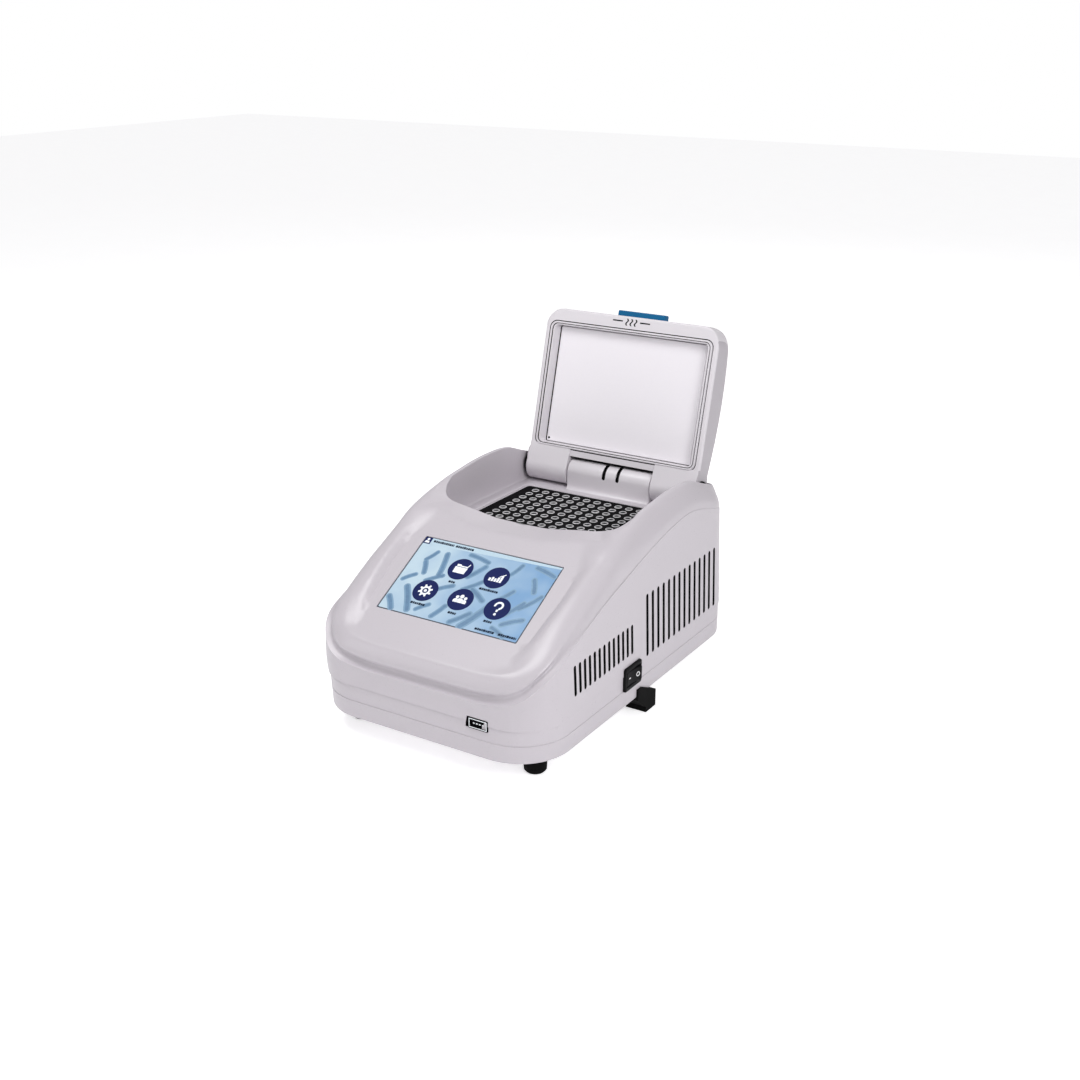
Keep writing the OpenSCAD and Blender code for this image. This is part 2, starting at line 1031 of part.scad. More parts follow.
module lid_solid() {
    intersection() {
        union() {
            along_x(lid_w / 2)
                lid_outline(0, face_z);
            intersection() {
                bar_x(knuckle_r, -lid_w / 2 + 1.5, lid_w / 2 - 1.5);
                translate([-lid_w / 2, -1, face_z])
                    cube([lid_w, 2 * knuckle_r, 3 * knuckle_r]);
            }
        }
        translate([0, 0, -20])
            linear_extrude(60)
                two_radius_rect(lid_w / 2, -lid_len, knuckle_r, 14, 3);
    }
}

// Space inside the lid above its face, with a rib left standing behind the button's spring
module lid_hollow() {
    difference() {
        intersection() {
            along_x(lid_w / 2 - 2.5)
                lid_outline(2.5, face_z + 3);
            translate([0, 0, -20])
                linear_extrude(60)
                    two_radius_rect(lid_w / 2 - 2.5, -lid_len + 2.5, -14, 11.5, 3);
        }
        translate([-6, rib_y - 1.4, button_low - 1])
            cube([12, 1.4, 40]);
    }
}

module lid_cover() {
    color(shell_grey)
        lid_frame_open()
            difference() {
                lid_solid();
                lid_hollow();
                translate([0, rim_y, face_z - 1])
                    linear_extrude(6)
                        round_rect(rim_w, rim_d, rim_r);
                // room for the fixed hinge cover
                translate([-notch_half_w, -notch_len, -30])
                    cube([2 * notch_half_w, 30, 60]);
                mirror_x()
                    bar_x(4.5, notch_half_w - 1, 54);
                translate([-button_half_w - 0.3, -lid_len - 5, button_low - 0.2])
                    cube([2 * button_half_w + 0.6, 12.4, button_high - button_low + 0.4]);
                translate([-5.5, -lid_len - 1, -5.5])
                    cube([11, 5, 4.5]);
            }
}

module lid_bezel() {
    color([0.74, 0.73, 0.76])
        lid_frame_open()
            translate([0, rim_y, face_z - 0.4])
                difference() {
                    union() {
                        linear_extrude(6.2)
                            round_rect(rim_w - 0.1, rim_d - 0.1, rim_r);
                        translate([0, 0, 3.5])
                            linear_extrude(2)
                                round_rect(rim_w + 1.6, rim_d + 1, rim_r);
                        at_corners(boss_x, boss_y)
                            cylinder(h = chassis_z - face_z + 0.4, r = boss_r);
                    }
                    translate([0, 0, -1])
                        linear_extrude(8)
                            round_rect(plate_w + 0.6, plate_d + 0.6, 3);
                    at_corners(boss_x, boss_y)
                        translate([0, 0, 8])
                            cylinder(h = 20, r = 1.25);
                }
}

module lid_chassis() {
    color(steel)
        lid_frame_open()
            translate([0, rim_y, chassis_z])
                difference() {
                    union() {
                        linear_extrude(1.5)
                            round_rect(116, 78, 4);
                        mirror_x()
                            translate([56, -boss_y - boss_r, 0])
                                cube([boss_x + boss_r - 56, 2 * (boss_y + boss_r), 1.5]);
                    }
                    translate([0, 0, -1])
                        at_corners(guide_x, guide_y)
                            cylinder(h = 4, r = 1.5);
                    translate([0, 0, -1])
                        at_corners(boss_x, boss_y)
                            cylinder(h = 4, r = 1.35);
                }
}

module lid_screws() {
    color(steel)
        lid_frame_open()
            translate([0, rim_y, chassis_z])
                at_corners(boss_x, boss_y) {
                    translate([0, 0, -6])
                        cylinder(h = 7.5, r = 1.25);
                    translate([0, 0, 1.5])
                        cylinder(h = 1.4, r = 2.2);
                }
}

module lid_bushes() {
    color("goldenrod")
        lid_frame_open()
            mirror_x()
                difference() {
                    bar_x(4.5, notch_half_w, 53);
                    bar_x(pin_r + run_gap, notch_half_w - 1, 60);
                }
}

// Shoulder screws that the heated plate slides on
module guide_screws() {
    color(steel)
        lid_frame_open()
            translate([0, rim_y, 0])
                at_corners(guide_x, guide_y) {
                    translate([0, 0, plate_z + plate_t - guide_bite])
                        cylinder(h = chassis_z - plate_z - plate_t + guide_bite, r = guide_r);
                    translate([0, 0, chassis_z - eps])
                        cylinder(h = 1.5 + 2 * eps, r = 1.5);
                    translate([0, 0, chassis_z + 1.5])
                        cylinder(h = 1.6, r = 3);
                }
}

module plate_springs() {
    spring_low = plate_z + plate_t;
    color(steel)
        lid_frame_open()
            translate([0, rim_y, spring_low + 0.05])
                at_corners(guide_x, guide_y)
                    coil(3, 0.5, 6);
}

module latch_keeper() {
    color(steel)
        lid_frame_open()
            difference() {
                translate([-9, -lid_len + 2.6, -3.2])
                    cube([18, 1.4, 8]);
                translate([-5.4, -lid_len + 2, -5])
                    cube([10.8, 3, 5]);
            }
}

module button_spring() {
    color(steel)
        lid_frame_open()
            translate([0, button_back + 0.05, (button_low + button_high) / 2])
                rotate([-90, 0, 0])
                    coil(2, 0.4, 8);
}

// ---- parts that move inside the lid ----

module plate_layer(z, t, hole_r, w, d) {
    lid_frame_open()
        translate([0, rim_y, z])
            difference() {
                linear_extrude(t)
                    round_rect(w, d, 2.5);
                at_corners(guide_x, guide_y)
                    translate([0, 0, -1])
                        cylinder(h = t + 2, r = hole_r);
            }
}

module heated_plate() {
    color([0.93, 0.92, 0.94])
        lid_frame_open()
            translate([0, rim_y, plate_z])
                difference() {
                    linear_extrude(plate_t)
                        round_rect(plate_w, plate_d, 2.5);
                    at_corners(guide_x, guide_y)
                        translate([0, 0, plate_t - guide_bite - plate_travel - 0.2])
                            cylinder(h = plate_t, r = guide_r + run_gap);
                }
}

module heater_mat() {
    color([0.75, 0.35, 0.12])
        plate_layer(plate_z + plate_t, mat_t, 4.2, plate_w - 4, plate_d - 4);
}

module plate_insulation() {
    color([0.85, 0.84, 0.78])
        plate_layer(plate_z + plate_t + mat_t, insulation_t, 4.2, plate_w - 4, plate_d - 4);
}

module latch_button() {
    color([0.02, 0.33, 0.55])
        lid_frame_open() {
            translate([-button_half_w, -lid_len - 2.4, button_low])
                cube([2 * button_half_w, button_back + lid_len + 2.4, button_high - button_low]);
            // lugs that stop it behind the lid's front wall
            translate([-button_half_w - 2.5, button_back - 1.6, button_low + 0.2])
                cube([2 * button_half_w + 5, 1.6, 1.8]);
        }
}

lower_case();
upper_case();
rear_panel();
case_screws();
panel_screws();
front_feet();
rear_feet();
side_feet();
foot_screws();
block_frame();
block_gasket();
sample_block();
block_sensors();
peltier_modules();
heat_sink();
sink_screws();
fan_duct();
fan_frames();
fan_rotor_left();
fan_rotor_right();
power_supply();
drive_board();
control_board();
display_module();
display_bracket();
touch_glass();
usb_port();
switch_housing();
switch_rocker();
power_inlet();
fuse_drawer();
hinge_cover();
hinge_block();
hinge_pin();
lid_springs();
heater_cables();
latch_catch();
catch_pin();
catch_spring();
lid_cover();
lid_bezel();
lid_chassis();
lid_screws();
lid_bushes();
guide_screws();
plate_springs();
latch_keeper();
button_spring();
heated_plate();
heater_mat();
plate_insulation();
latch_button();
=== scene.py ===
import math

import bmesh
import bpy
import numpy as np
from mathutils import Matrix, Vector
from mathutils.geometry import delaunay_2d_cdt


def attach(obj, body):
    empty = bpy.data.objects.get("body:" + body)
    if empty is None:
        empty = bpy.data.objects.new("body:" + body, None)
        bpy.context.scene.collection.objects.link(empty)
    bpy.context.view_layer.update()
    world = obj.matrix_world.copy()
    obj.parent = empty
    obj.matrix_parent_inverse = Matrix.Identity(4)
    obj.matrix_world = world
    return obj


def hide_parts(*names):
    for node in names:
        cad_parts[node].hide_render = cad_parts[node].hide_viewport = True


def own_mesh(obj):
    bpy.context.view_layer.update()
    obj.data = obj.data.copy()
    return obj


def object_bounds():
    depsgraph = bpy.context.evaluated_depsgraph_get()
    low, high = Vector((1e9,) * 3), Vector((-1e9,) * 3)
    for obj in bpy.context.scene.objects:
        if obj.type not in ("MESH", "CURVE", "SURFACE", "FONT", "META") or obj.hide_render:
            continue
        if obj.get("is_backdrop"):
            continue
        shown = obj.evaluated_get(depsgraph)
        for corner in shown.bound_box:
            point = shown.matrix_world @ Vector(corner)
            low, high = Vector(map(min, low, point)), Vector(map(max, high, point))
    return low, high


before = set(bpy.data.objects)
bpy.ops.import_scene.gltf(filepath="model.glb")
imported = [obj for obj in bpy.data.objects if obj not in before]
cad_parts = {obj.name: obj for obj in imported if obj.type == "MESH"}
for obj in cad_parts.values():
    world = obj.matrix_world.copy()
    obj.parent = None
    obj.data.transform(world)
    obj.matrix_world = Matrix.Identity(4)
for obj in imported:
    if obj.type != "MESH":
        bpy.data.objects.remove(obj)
cad_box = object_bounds()

# Lengths in this script are millimetres until a mesh is made. Origin on the bench, +Y to the rear.

# ---- curves ----


def track(knots):
    """Smooth curve through (x, y) knots that never overshoots them."""
    xs = [k[0] for k in knots]
    ys = [k[1] for k in knots]
    n = len(xs)
    d = [(ys[i + 1] - ys[i]) / (xs[i + 1] - xs[i]) for i in range(n - 1)]
    m = [d[0]]
    for i in range(1, n - 1):
        m.append(0.0 if d[i - 1] * d[i] <= 0 else 2 * d[i - 1] * d[i] / (d[i - 1] + d[i]))
    m.append(d[-1])

    def curve(x):
        if x <= xs[0]:
            return ys[0]
        if x >= xs[-1]:
            return ys[-1]
        i = max(j for j in range(n - 1) if xs[j] <= x)
        h = xs[i + 1] - xs[i]
        t = (x - xs[i]) / h
        return ((2 * t**3 - 3 * t**2 + 1) * ys[i] + (t**3 - 2 * t**2 + t) * h * m[i]
                + (-2 * t**3 + 3 * t**2) * ys[i + 1] + (t**3 - t**2) * h * m[i + 1])

    return curve


def smooth(t):
    t = min(1.0, max(0.0, t))
    return t * t * (3 - 2 * t)


def spline(points, steps):
    """Points along a Catmull-Rom curve through the given ones."""
    p = [np.array(q, float) for q in points]
    p = [2 * p[0] - p[1]] + p + [2 * p[-1] - p[-2]]
    out = []
    for i in range(1, len(p) - 2):
        for k in range(steps):
            t = k / steps
            out.append(0.5 * (2 * p[i] + (p[i + 1] - p[i - 1]) * t
                              + (2 * p[i - 1] - 5 * p[i] + 4 * p[i + 1] - p[i + 2]) * t * t
                              + (3 * p[i] - p[i - 1] - 3 * p[i + 1] + p[i + 2]) * t**3))
    out.append(p[-2])
    return out


def bend(a, b, c, steps):
    """Points on the quadratic curve from a to c that bends towards b."""
    out = []
    for i in range(steps + 1):
        t = i / steps
        out.append(tuple((1 - t)**2 * u + 2 * t * (1 - t) * v + t * t * w for u, v, w in zip(a, b, c)))
    return out


def round_rect(w, d, r, cx=0.0, cy=0.0, steps=6):
    """Outline of a rectangle with rounded corners, anticlockwise from the right-hand front corner."""
    out = []
    for qx, qy, start in ((1, -1, -90), (1, 1, 0), (-1, 1, 90), (-1, -1, 180)):
        for i in range(steps + 1):
            a = math.radians(start + 90 * i / steps)
            out.append((cx + qx * (w / 2 - r) + r * math.cos(a), cy + qy * (d / 2 - r) + r * math.sin(a)))
    return out


def circle(cx, cy, r, steps):
    return [(cx + r * math.cos(2 * math.pi * i / steps), cy + r * math.sin(2 * math.pi * i / steps))
            for i in range(steps)]


def inside(poly, x, y):
    """Which of the points lie inside the outline."""
    hit = np.zeros(len(x), bool)
    px = np.array([q[0] for q in poly])
    py = np.array([q[1] for q in poly])
    j = len(poly) - 1
    for i in range(len(poly)):
        cond = (py[i] > y) != (py[j] > y)
        if py[i] != py[j]:
            hit ^= cond & (x < (px[j] - px[i]) * (y - py[i]) / (py[j] - py[i]) + px[i])
        j = i
    return hit


def nearest(line, x, y):
    """Distance from each point to an open polyline of (x, y, z), and the height at the nearest place."""
    best = np.full(len(x), 1e9)
    level = np.zeros(len(x))
    for a, b in zip(line[:-1], line[1:]):
        ex, ey = b[0] - a[0], b[1] - a[1]
        size = ex * ex + ey * ey
        if size == 0:
            continue
        t = np.clip(((x - a[0]) * ex + (y - a[1]) * ey) / size, 0, 1)
        far = np.hypot(x - a[0] - t * ex, y - a[1] - t * ey)
        near = far < best
        best = np.where(near, far, best)
        level = np.where(near, a[2] + t * (b[2] - a[2]), level)
    return best, level


# ---- meshes ----


class Shape:
    """Vertices in millimetres, and faces that each carry a material number."""

    def __init__(self):
        self.verts = []
        self.faces = []
        self.mats = []

    def add(self, verts, faces, mat=0):
        base = len(self.verts)
        self.verts += [tuple(float(c) for c in v) for v in verts]
        self.faces += [tuple(base + i for i in f) for f in faces]
        self.mats += [mat] * len(faces)

    def loft(self, rings, mat=0, closed=True, skip=None):
        n = len(rings[0])
        faces = []
        for k in range(len(rings) - 1):
            for i in range(n if closed else n - 1):
                if skip and skip(k, i):
                    continue
                j = (i + 1) % n
                faces.append((k * n + i, k * n + j, (k + 1) * n + j, (k + 1) * n + i))
        self.add([v for ring in rings for v in ring], faces, mat)

    def cap(self, ring, mat=0):
        self.add(ring, [tuple(range(len(ring)))], mat)

    def patch(self, outer, holes, place, lines=(), grid=None, mat=0, edge=None):
        """Triangles over a plan outline. place turns a plan point into a 3-D one; edge gives 3-D points of
        the outer outline when they're already known."""
        pts = list(outer)
        links = [(i, (i + 1) % len(outer)) for i in range(len(outer))]
        for hole in holes:
            base = len(pts)
            pts += hole
            links += [(base + i, base + (i + 1) % len(hole)) for i in range(len(hole))]
        for line in lines:
            base = len(pts)
            pts += line
            links += [(base + i, base + i + 1) for i in range(len(line) - 1)]
        if grid:
            fx = np.array([p[0] for p in pts])
            fy = np.array([p[1] for p in pts])
            gx = np.arange(fx.min(), fx.max(), grid[0])
            gy = np.arange(fy.min(), fy.max(), grid[1])
            gx, gy = np.meshgrid(gx, gy)
            gx[1::2] += grid[0] / 2
            gx, gy = gx.ravel(), gy.ravel()
            keep = inside(outer, gx, gy)
            for hole in holes:
                keep &= ~inside(hole, gx, gy)
            gx, gy = gx[keep], gy[keep]
            if len(gx):
                gap = np.full(len(gx), 1e9)
                for a, b in links:
                    ex, ey = fx[b] - fx[a], fy[b] - fy[a]
                    t = np.clip(((gx - fx[a]) * ex + (gy - fy[a]) * ey) / (ex * ex + ey * ey + 1e-12), 0, 1)
                    gap = np.minimum(gap, np.hypot(gx - fx[a] - t * ex, gy - fy[a] - t * ey))
                keep = gap > 0.42 * min(grid)
                pts += list(zip(gx[keep], gy[keep]))
        flat, _, tris, origin, _, _ = delaunay_2d_cdt([Vector((p[0], p[1])) for p in pts], links, [], 0, 1e-6)
        cx = np.array([sum(flat[i][0] for i in t) / 3 for t in tris])
        cy = np.array([sum(flat[i][1] for i in t) / 3 for t in tris])
        keep = inside(outer, cx, cy)
        for hole in holes:
            keep &= ~inside(hole, cx, cy)
        spots = []
        for k, v in enumerate(flat):
            known = [i for i in origin[k] if i < len(outer)] if edge else []
            spots.append(edge[known[0]] if known else place(v[0], v[1]))
        self.add(spots, [t for t, good in zip(tris, keep) if good], mat)


bodies = {}


def build(name, shape, body, paints, swaps=(), angle=32, move=None, weld=0.004):
    """Makes a piece from a shape: welded, smooth-shaded up to an angle, riding on a body."""
    mesh = bpy.data.meshes.new(name)
    spots = [move(v) for v in shape.verts] if move else shape.verts
    mesh.from_pydata([tuple(c / 1000 for c in v) for v in spots], [], shape.faces)
    for p in paints:
        mesh.materials.append(p)
    mesh.polygons.foreach_set("material_index", shape.mats)
    bm = bmesh.new()
    bm.from_mesh(mesh)
    bmesh.ops.remove_doubles(bm, verts=bm.verts, dist=weld / 1000)
    bmesh.ops.dissolve_degenerate(bm, edges=bm.edges, dist=1e-7)
    bmesh.ops.recalc_face_normals(bm, faces=bm.faces)
    bm.to_mesh(mesh)
    bm.free()
    mesh.shade_smooth()
    mesh.set_sharp_from_angle(angle=math.radians(angle))
    ob = bpy.data.objects.new(name, mesh)
    bpy.context.scene.collection.objects.link(ob)
    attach(ob, body)
    if swaps:
        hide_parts(*swaps)
    return ob


# ---- materials ----


def paint(name, color, rough=0.45, metal=0.0, mottle=0.03, grain=900.0, bump=0.05, patch=18.0, coat=0.0,
          glow=0.0, streak=None, spec=0.5):
    """Plastic or metal with a fine moulded grain, slow mottling and uneven gloss."""
    m = bpy.data.materials.new(name)
    m.use_nodes = True
    t = m.node_tree
    n, link = t.nodes, t.links
    b = n["Principled BSDF"]
    where = n.new("ShaderNodeTexCoord")
    stretch = n.new("ShaderNodeMapping")
    stretch.inputs["Scale"].default_value = streak or (1, 1, 1)
    link.new(where.outputs["Object"], stretch.inputs["Vector"])
    slow = n.new("ShaderNodeTexNoise")
    slow.inputs["Scale"].default_value = patch
    slow.inputs["Detail"].default_value = 3
    fine = n.new("ShaderNodeTexNoise")
    fine.inputs["Scale"].default_value = grain
    fine.inputs["Detail"].default_value = 2
    link.new(where.outputs["Object"], slow.inputs["Vector"])
    link.new(stretch.outputs["Vector"], fine.inputs["Vector"])
    both = n.new("ShaderNodeMath")
    both.operation = "ADD"
    link.new(slow.outputs["Fac"], both.inputs[0])
    link.new(fine.outputs["Fac"], both.inputs[1])
    span = n.new("ShaderNodeMapRange")
    span.inputs["From Min"].default_value = 0.7
    span.inputs["From Max"].default_value = 1.3
    link.new(both.outputs[0], span.inputs["Value"])
    mix = n.new("ShaderNodeMix")
    mix.data_type = "RGBA"
    mix.inputs["A"].default_value = tuple(c * (1 - mottle) for c in color) + (1,)
    mix.inputs["B"].default_value = tuple(min(1, c * (1 + mottle)) for c in color) + (1,)
    link.new(span.outputs["Result"], mix.inputs["Factor"])
    link.new(mix.outputs["Result"], b.inputs["Base Color"])
    gloss = n.new("ShaderNodeMapRange")
    gloss.inputs["To Min"].default_value = max(0.02, rough - 0.06)
    gloss.inputs["To Max"].default_value = rough + 0.06
    link.new(fine.outputs["Fac"], gloss.inputs["Value"])
    link.new(gloss.outputs["Result"], b.inputs["Roughness"])
    dent = n.new("ShaderNodeBump")
    dent.inputs["Strength"].default_value = bump
    dent.inputs["Distance"].default_value = 0.0002
    link.new(fine.outputs["Fac"], dent.inputs["Height"])
    link.new(dent.outputs["Normal"], b.inputs["Normal"])
    b.inputs["Metallic"].default_value = metal
    b.inputs["Coat Weight"].default_value = coat
    b.inputs["Specular IOR Level"].default_value = spec
    if glow:
        link.new(mix.outputs["Result"], b.inputs["Emission Color"])
        b.inputs["Emission Strength"].default_value = glow
    return m


SHELL = (0.575, 0.54, 0.58)
shell = paint("shell", SHELL, rough=0.30, mottle=0.012, bump=0.04)
# Lighter copy of the shell paint for the lid, its rim and the hinge cover: painted light that brightens them against
# the base.
lid_shell = paint("lid_shell", (0.70, 0.67, 0.705), rough=0.32, mottle=0.012, bump=0.04)
# Darker copy of the lid paint for the lid's side faces: painted shade.
lid_side_painted_shade = paint("lid_side_painted_shade", (0.47, 0.44, 0.475), rough=0.36, mottle=0.012, bump=0.04)
# Near-black paint: painted shade inside the vent and hook slots, the release-tab opening, the rim grooves, the plate's
# pit, the USB port and the gap behind the hinge cover; also the own black of the knuckle washers and the port's
# tongue.
black_and_painted_shade = paint("black_and_painted_shade", (0.004, 0.004, 0.005), rough=0.9, bump=0.1, spec=0.1)
face_white = paint("face_white", (0.86, 0.83, 0.87), rough=0.42, mottle=0.01, grain=700, bump=0.02)
black = paint("black", (0.002, 0.002, 0.0025), rough=0.5, mottle=0.2, spec=0.12)
rubber = paint("rubber", (0.003, 0.003, 0.003), rough=0.75, mottle=0.25, grain=1400, bump=0.25, spec=0.1)
gasket_black = paint("gasket_black", (0.004, 0.004, 0.005), rough=0.7, mottle=0.25, grain=1500, bump=0.2, spec=0.2)
blue = paint("blue", (0.001, 0.115, 0.27), rough=0.4, mottle=0.04, bump=0.05, spec=0.2)
deck = paint("deck", (0.001, 0.001, 0.0015), rough=0.6, mottle=0.25, grain=1600, bump=0.1, spec=0.04)
well_metal = paint("well_metal", (0.62, 0.62, 0.63), rough=0.35, metal=0.3, mottle=0.08, grain=1800)
well_inner = paint("well_inner", (0.035, 0.035, 0.038), rough=0.45, metal=0.3, mottle=0.15, grain=1800)
steel = paint("steel", (0.55, 0.55, 0.56), rough=0.3, metal=1.0, mottle=0.06, streak=(0.05, 1, 1))
port_metal = paint("port_metal", (0.72, 0.70, 0.73), rough=0.3, metal=0.6, mottle=0.05)
alu = paint("alu", (0.66, 0.67, 0.68), rough=0.38, metal=1.0, mottle=0.05, streak=(1, 0.05, 1))
brass = paint("brass", (0.62, 0.42, 0.14), rough=0.3, metal=1.0, mottle=0.08)
ceramic = paint("ceramic", (0.8, 0.8, 0.77), rough=0.3, mottle=0.03)
board = paint("board", (0.012, 0.13, 0.06), rough=0.35, mottle=0.2, grain=500, bump=0.15)
dark_plastic = paint("dark_plastic", (0.035, 0.036, 0.04), rough=0.5, mottle=0.15)
mat_film = paint("mat_film", (0.5, 0.18, 0.05), rough=0.35, mottle=0.1)
felt = paint("felt", (0.66, 0.63, 0.56), rough=0.9, mottle=0.12, grain=700, bump=0.6)
white_mark = paint("white_mark", (0.85, 0.85, 0.86), rough=0.5, mottle=0.02)
ink = paint("ink", (0.006, 0.006, 0.008), rough=0.6, mottle=0.1, spec=0.1)
navy = paint("navy", (0.003, 0.010, 0.085), rough=0.5, mottle=0.08, glow=0.1, spec=0.15)
icon_white = paint("icon_white", (0.86, 0.9, 0.93), rough=0.3, mottle=0.02, glow=0.15)
screen_ink = paint("screen_ink", (0.004, 0.01, 0.03), rough=0.5, mottle=0.1, spec=0.1)
rod_far = paint("rod_far", (0.19, 0.32, 0.46), rough=0.3, mottle=0.08, glow=0.12, patch=160)
rod_near = paint("rod_near", (0.11, 0.215, 0.35), rough=0.3, mottle=0.1, glow=0.12, patch=160)
screen_edge = paint("screen_edge", (0.04, 0.06, 0.09), rough=0.3, mottle=0.1)
bar_pale = paint("bar_pale", (0.46, 0.60, 0.70), rough=0.3, mottle=0.04, glow=0.12)


def screen_paint():
    """Lit screen: a pale blue wash that deepens to the right, with soft clouds."""
    m = paint("screen_wash", (0.4, 0.6, 0.8), rough=0.3, mottle=0.03, glow=0.16)
    t = m.node_tree
    n, link = t.nodes, t.links
    b = n["Principled BSDF"]
    where = n.new("ShaderNodeTexCoord")
    split = n.new("ShaderNodeSeparateXYZ")
    link.new(where.outputs["Object"], split.inputs[0])
    across = n.new("ShaderNodeMapRange")
    across.inputs["From Min"].default_value = -0.056
    across.inputs["From Max"].default_value = 0.056
    link.new(split.outputs["X"], across.inputs["Value"])
    clouds = n.new("ShaderNodeTexNoise")
    clouds.inputs["Scale"].default_value = 55
    clouds.inputs["Detail"].default_value = 1.5
    link.new(where.outputs["Object"], clouds.inputs["Vector"])
    amount = n.new("ShaderNodeMath")
    amount.operation = "MULTIPLY_ADD"
    amount.inputs[1].default_value = 1.1
    amount.inputs[2].default_value = -0.55
    link.new(clouds.outputs["Fac"], amount.inputs[0])
    total = n.new("ShaderNodeMath")
    total.operation = "ADD"
    total.use_clamp = True
    link.new(across.outputs["Result"], total.inputs[0])
    link.new(amount.outputs[0], total.inputs[1])
    ramp = n.new("ShaderNodeValToRGB")
    ramp.color_ramp.elements[0].color = (0.46, 0.59, 0.68, 1)
    ramp.color_ramp.elements[1].color = (0.16, 0.31, 0.52, 1)
    link.new(total.outputs[0], ramp.inputs["Fac"])
    link.new(ramp.outputs["Color"], b.inputs["Base Color"])
    link.new(ramp.outputs["Color"], b.inputs["Emission Color"])
    return m


screen_wash = screen_paint()

# ---- case outline ----

HALF_W, HALF_D = 92.0, 140.0
REAR_R = 35.0
SEAM = 39.5
SIDE_0 = 62.0
SIDE_1 = SIDE_0 + 30 * math.pi / 2
SIDE_2 = SIDE_1 + 215
SIDE_3 = SIDE_2 + REAR_R * math.pi / 2
REAR_MID = SIDE_3 + HALF_W - REAR_R
PANEL_SIDE = REAR_MID - 56.2
PANEL_TOP = 108.2
PANEL_LOW = 21.8
front_r = track([(17.5, 38), (39, 35), (40, 33.5), (54, 30.5), (70, 30)])


def wall_at(s, z, inset):
    """Point on the case's side wall. s runs round the case from the middle of the front, + to the right."""
    side = 1 if s >= 0 else -1
    s = abs(s)
    r = front_r(z)
    more = r - 30
    if s <= SIDE_0:
        x, y = s - more * smooth((s - 22) / 40), -HALF_D + inset
    elif s <= SIDE_1:
        a = (s - SIDE_0) / 30
        x, y = HALF_W - r + (r - inset) * math.sin(a), -HALF_D + r - (r - inset) * math.cos(a)
    elif s <= SIDE_2:
        x, y = HALF_W - inset, -HALF_D + 30 + s - SIDE_1 + more * (1 - smooth((s - SIDE_1) / 40))
    elif s <= SIDE_3:
        a = (s - SIDE_2) / REAR_R
        x, y = HALF_W - REAR_R + (REAR_R - inset) * math.cos(a), HALF_D - REAR_R + (REAR_R - inset) * math.sin(a)
    else:
        x, y = HALF_W - REAR_R - (s - SIDE_3), HALF_D - inset
    return side * x, y, z


def draft(z):
    return 0.035 * (z - SEAM)


def rounds():
    out = []
    for a, b, k in ((0, SIDE_0, 16), (SIDE_0, SIDE_1, 20), (SIDE_1, SIDE_2, 72), (SIDE_2, SIDE_3, 18),
                    (SIDE_3, REAR_MID, 14)):
        out += [a + (b - a) * i / k for i in range(k)]
    return out + [REAR_MID]


half_ring = rounds()
RING = [-s for s in reversed(half_ring)][:-1] + half_ring
TILT = math.tan(math.radians(28.9))


def plane(y):
    return 101.0 + (y + 80.1) * TILT


ridge = track([(0, 53.3), (40, 53.5), (62, 55.6), (77, 60.8), (92, 71), (109, 79.8), (139, 92), (164, 100.8),
               (195, 109.5), (227, 118), (261, 124.6), (283, 126.3), (300, 124), (325, 117.5), (352, 111.5),
               (380, 110.5), (437, 110.5)])
crest_x = track([(0, 0), (40, 38), (62, 53.5), (77, 62), (92, 67.5), (109, 70.5), (139, 73.4), (164, 75),
                 (194, 77), (219, 78), (324, 78.2), (333, 78), (345, 76.9), (354, 75.2), (362, 72.6), (379, 62),
                 (REAR_MID, 0)])
crest_y = track([(0, -132), (40, -131.6), (62, -129.2), (77, -125.6), (92, -118.5), (109, -106), (139, -80),
                 (164, -55), (194, -25), (219, 0), (324, 105), (333, 113), (345, 122), (354, 127.4),
                 (362, 130.2), (379, 131.6), (REAR_MID, 131.8)])
crest_rise = track([(-140, 0), (-126, 0.2), (-118, 1.6), (-106, 3.4), (-92, 4.2), (-75, 4), (-60, 3.2),
                    (-45, 2.4)])
side_top = track([(-45, plane(-45) + 2.4), (-35, 128.4), (-25, 132.2), (-15, 135.2), (-5, 137.6), (2, 139.2),
                  (12, 141), (25, 142.5), (40, 144), (55, 144.6), (68, 144.5), (79, 143.5), (86, 142),
                  (92, 140), (97, 138), (109, 133.5), (119, 130), (125, 128), (132, 126.4)])


def crest(s):
    x = crest_x(abs(s)) * (1 if s >= 0 else -1)
    y = crest_y(abs(s))
    return x, y, plane(y) + crest_rise(y) if y < -45 else side_top(y)


BAND_FRONT = spline([(0, 0), (0.14, 0.02), (0.34, 0.045), (0.47, 0.13), (0.44, 0.26), (0.18, 0.38),
                     (0.15, 0.50), (0.32, 0.69), (0.62, 0.90), (1, 1)], 3)
BAND_CORNER = spline([(0, 0), (0.10, 0.015), (0.22, 0.035), (0.29, 0.12), (0.29, 0.25), (0.25, 0.37),
                      (0.29, 0.52), (0.44, 0.73), (0.69, 0.92), (1, 1)], 3)
BAND_SIDE = spline([(0, 0), (0.04, 0.012), (0.055, 0.08), (0.08, 0.24), (0.13, 0.44), (0.21, 0.62),
                    (0.33, 0.77), (0.50, 0.90), (0.74, 0.98), (1, 1)], 3)
BAND_REAR = spline([(0, 0), (0.03, 0.012), (0.05, 0.12), (0.10, 0.28), (0.185, 0.41), (0.30, 0.54),
                    (0.44, 0.67), (0.60, 0.81), (0.80, 0.94), (1, 1)], 3)


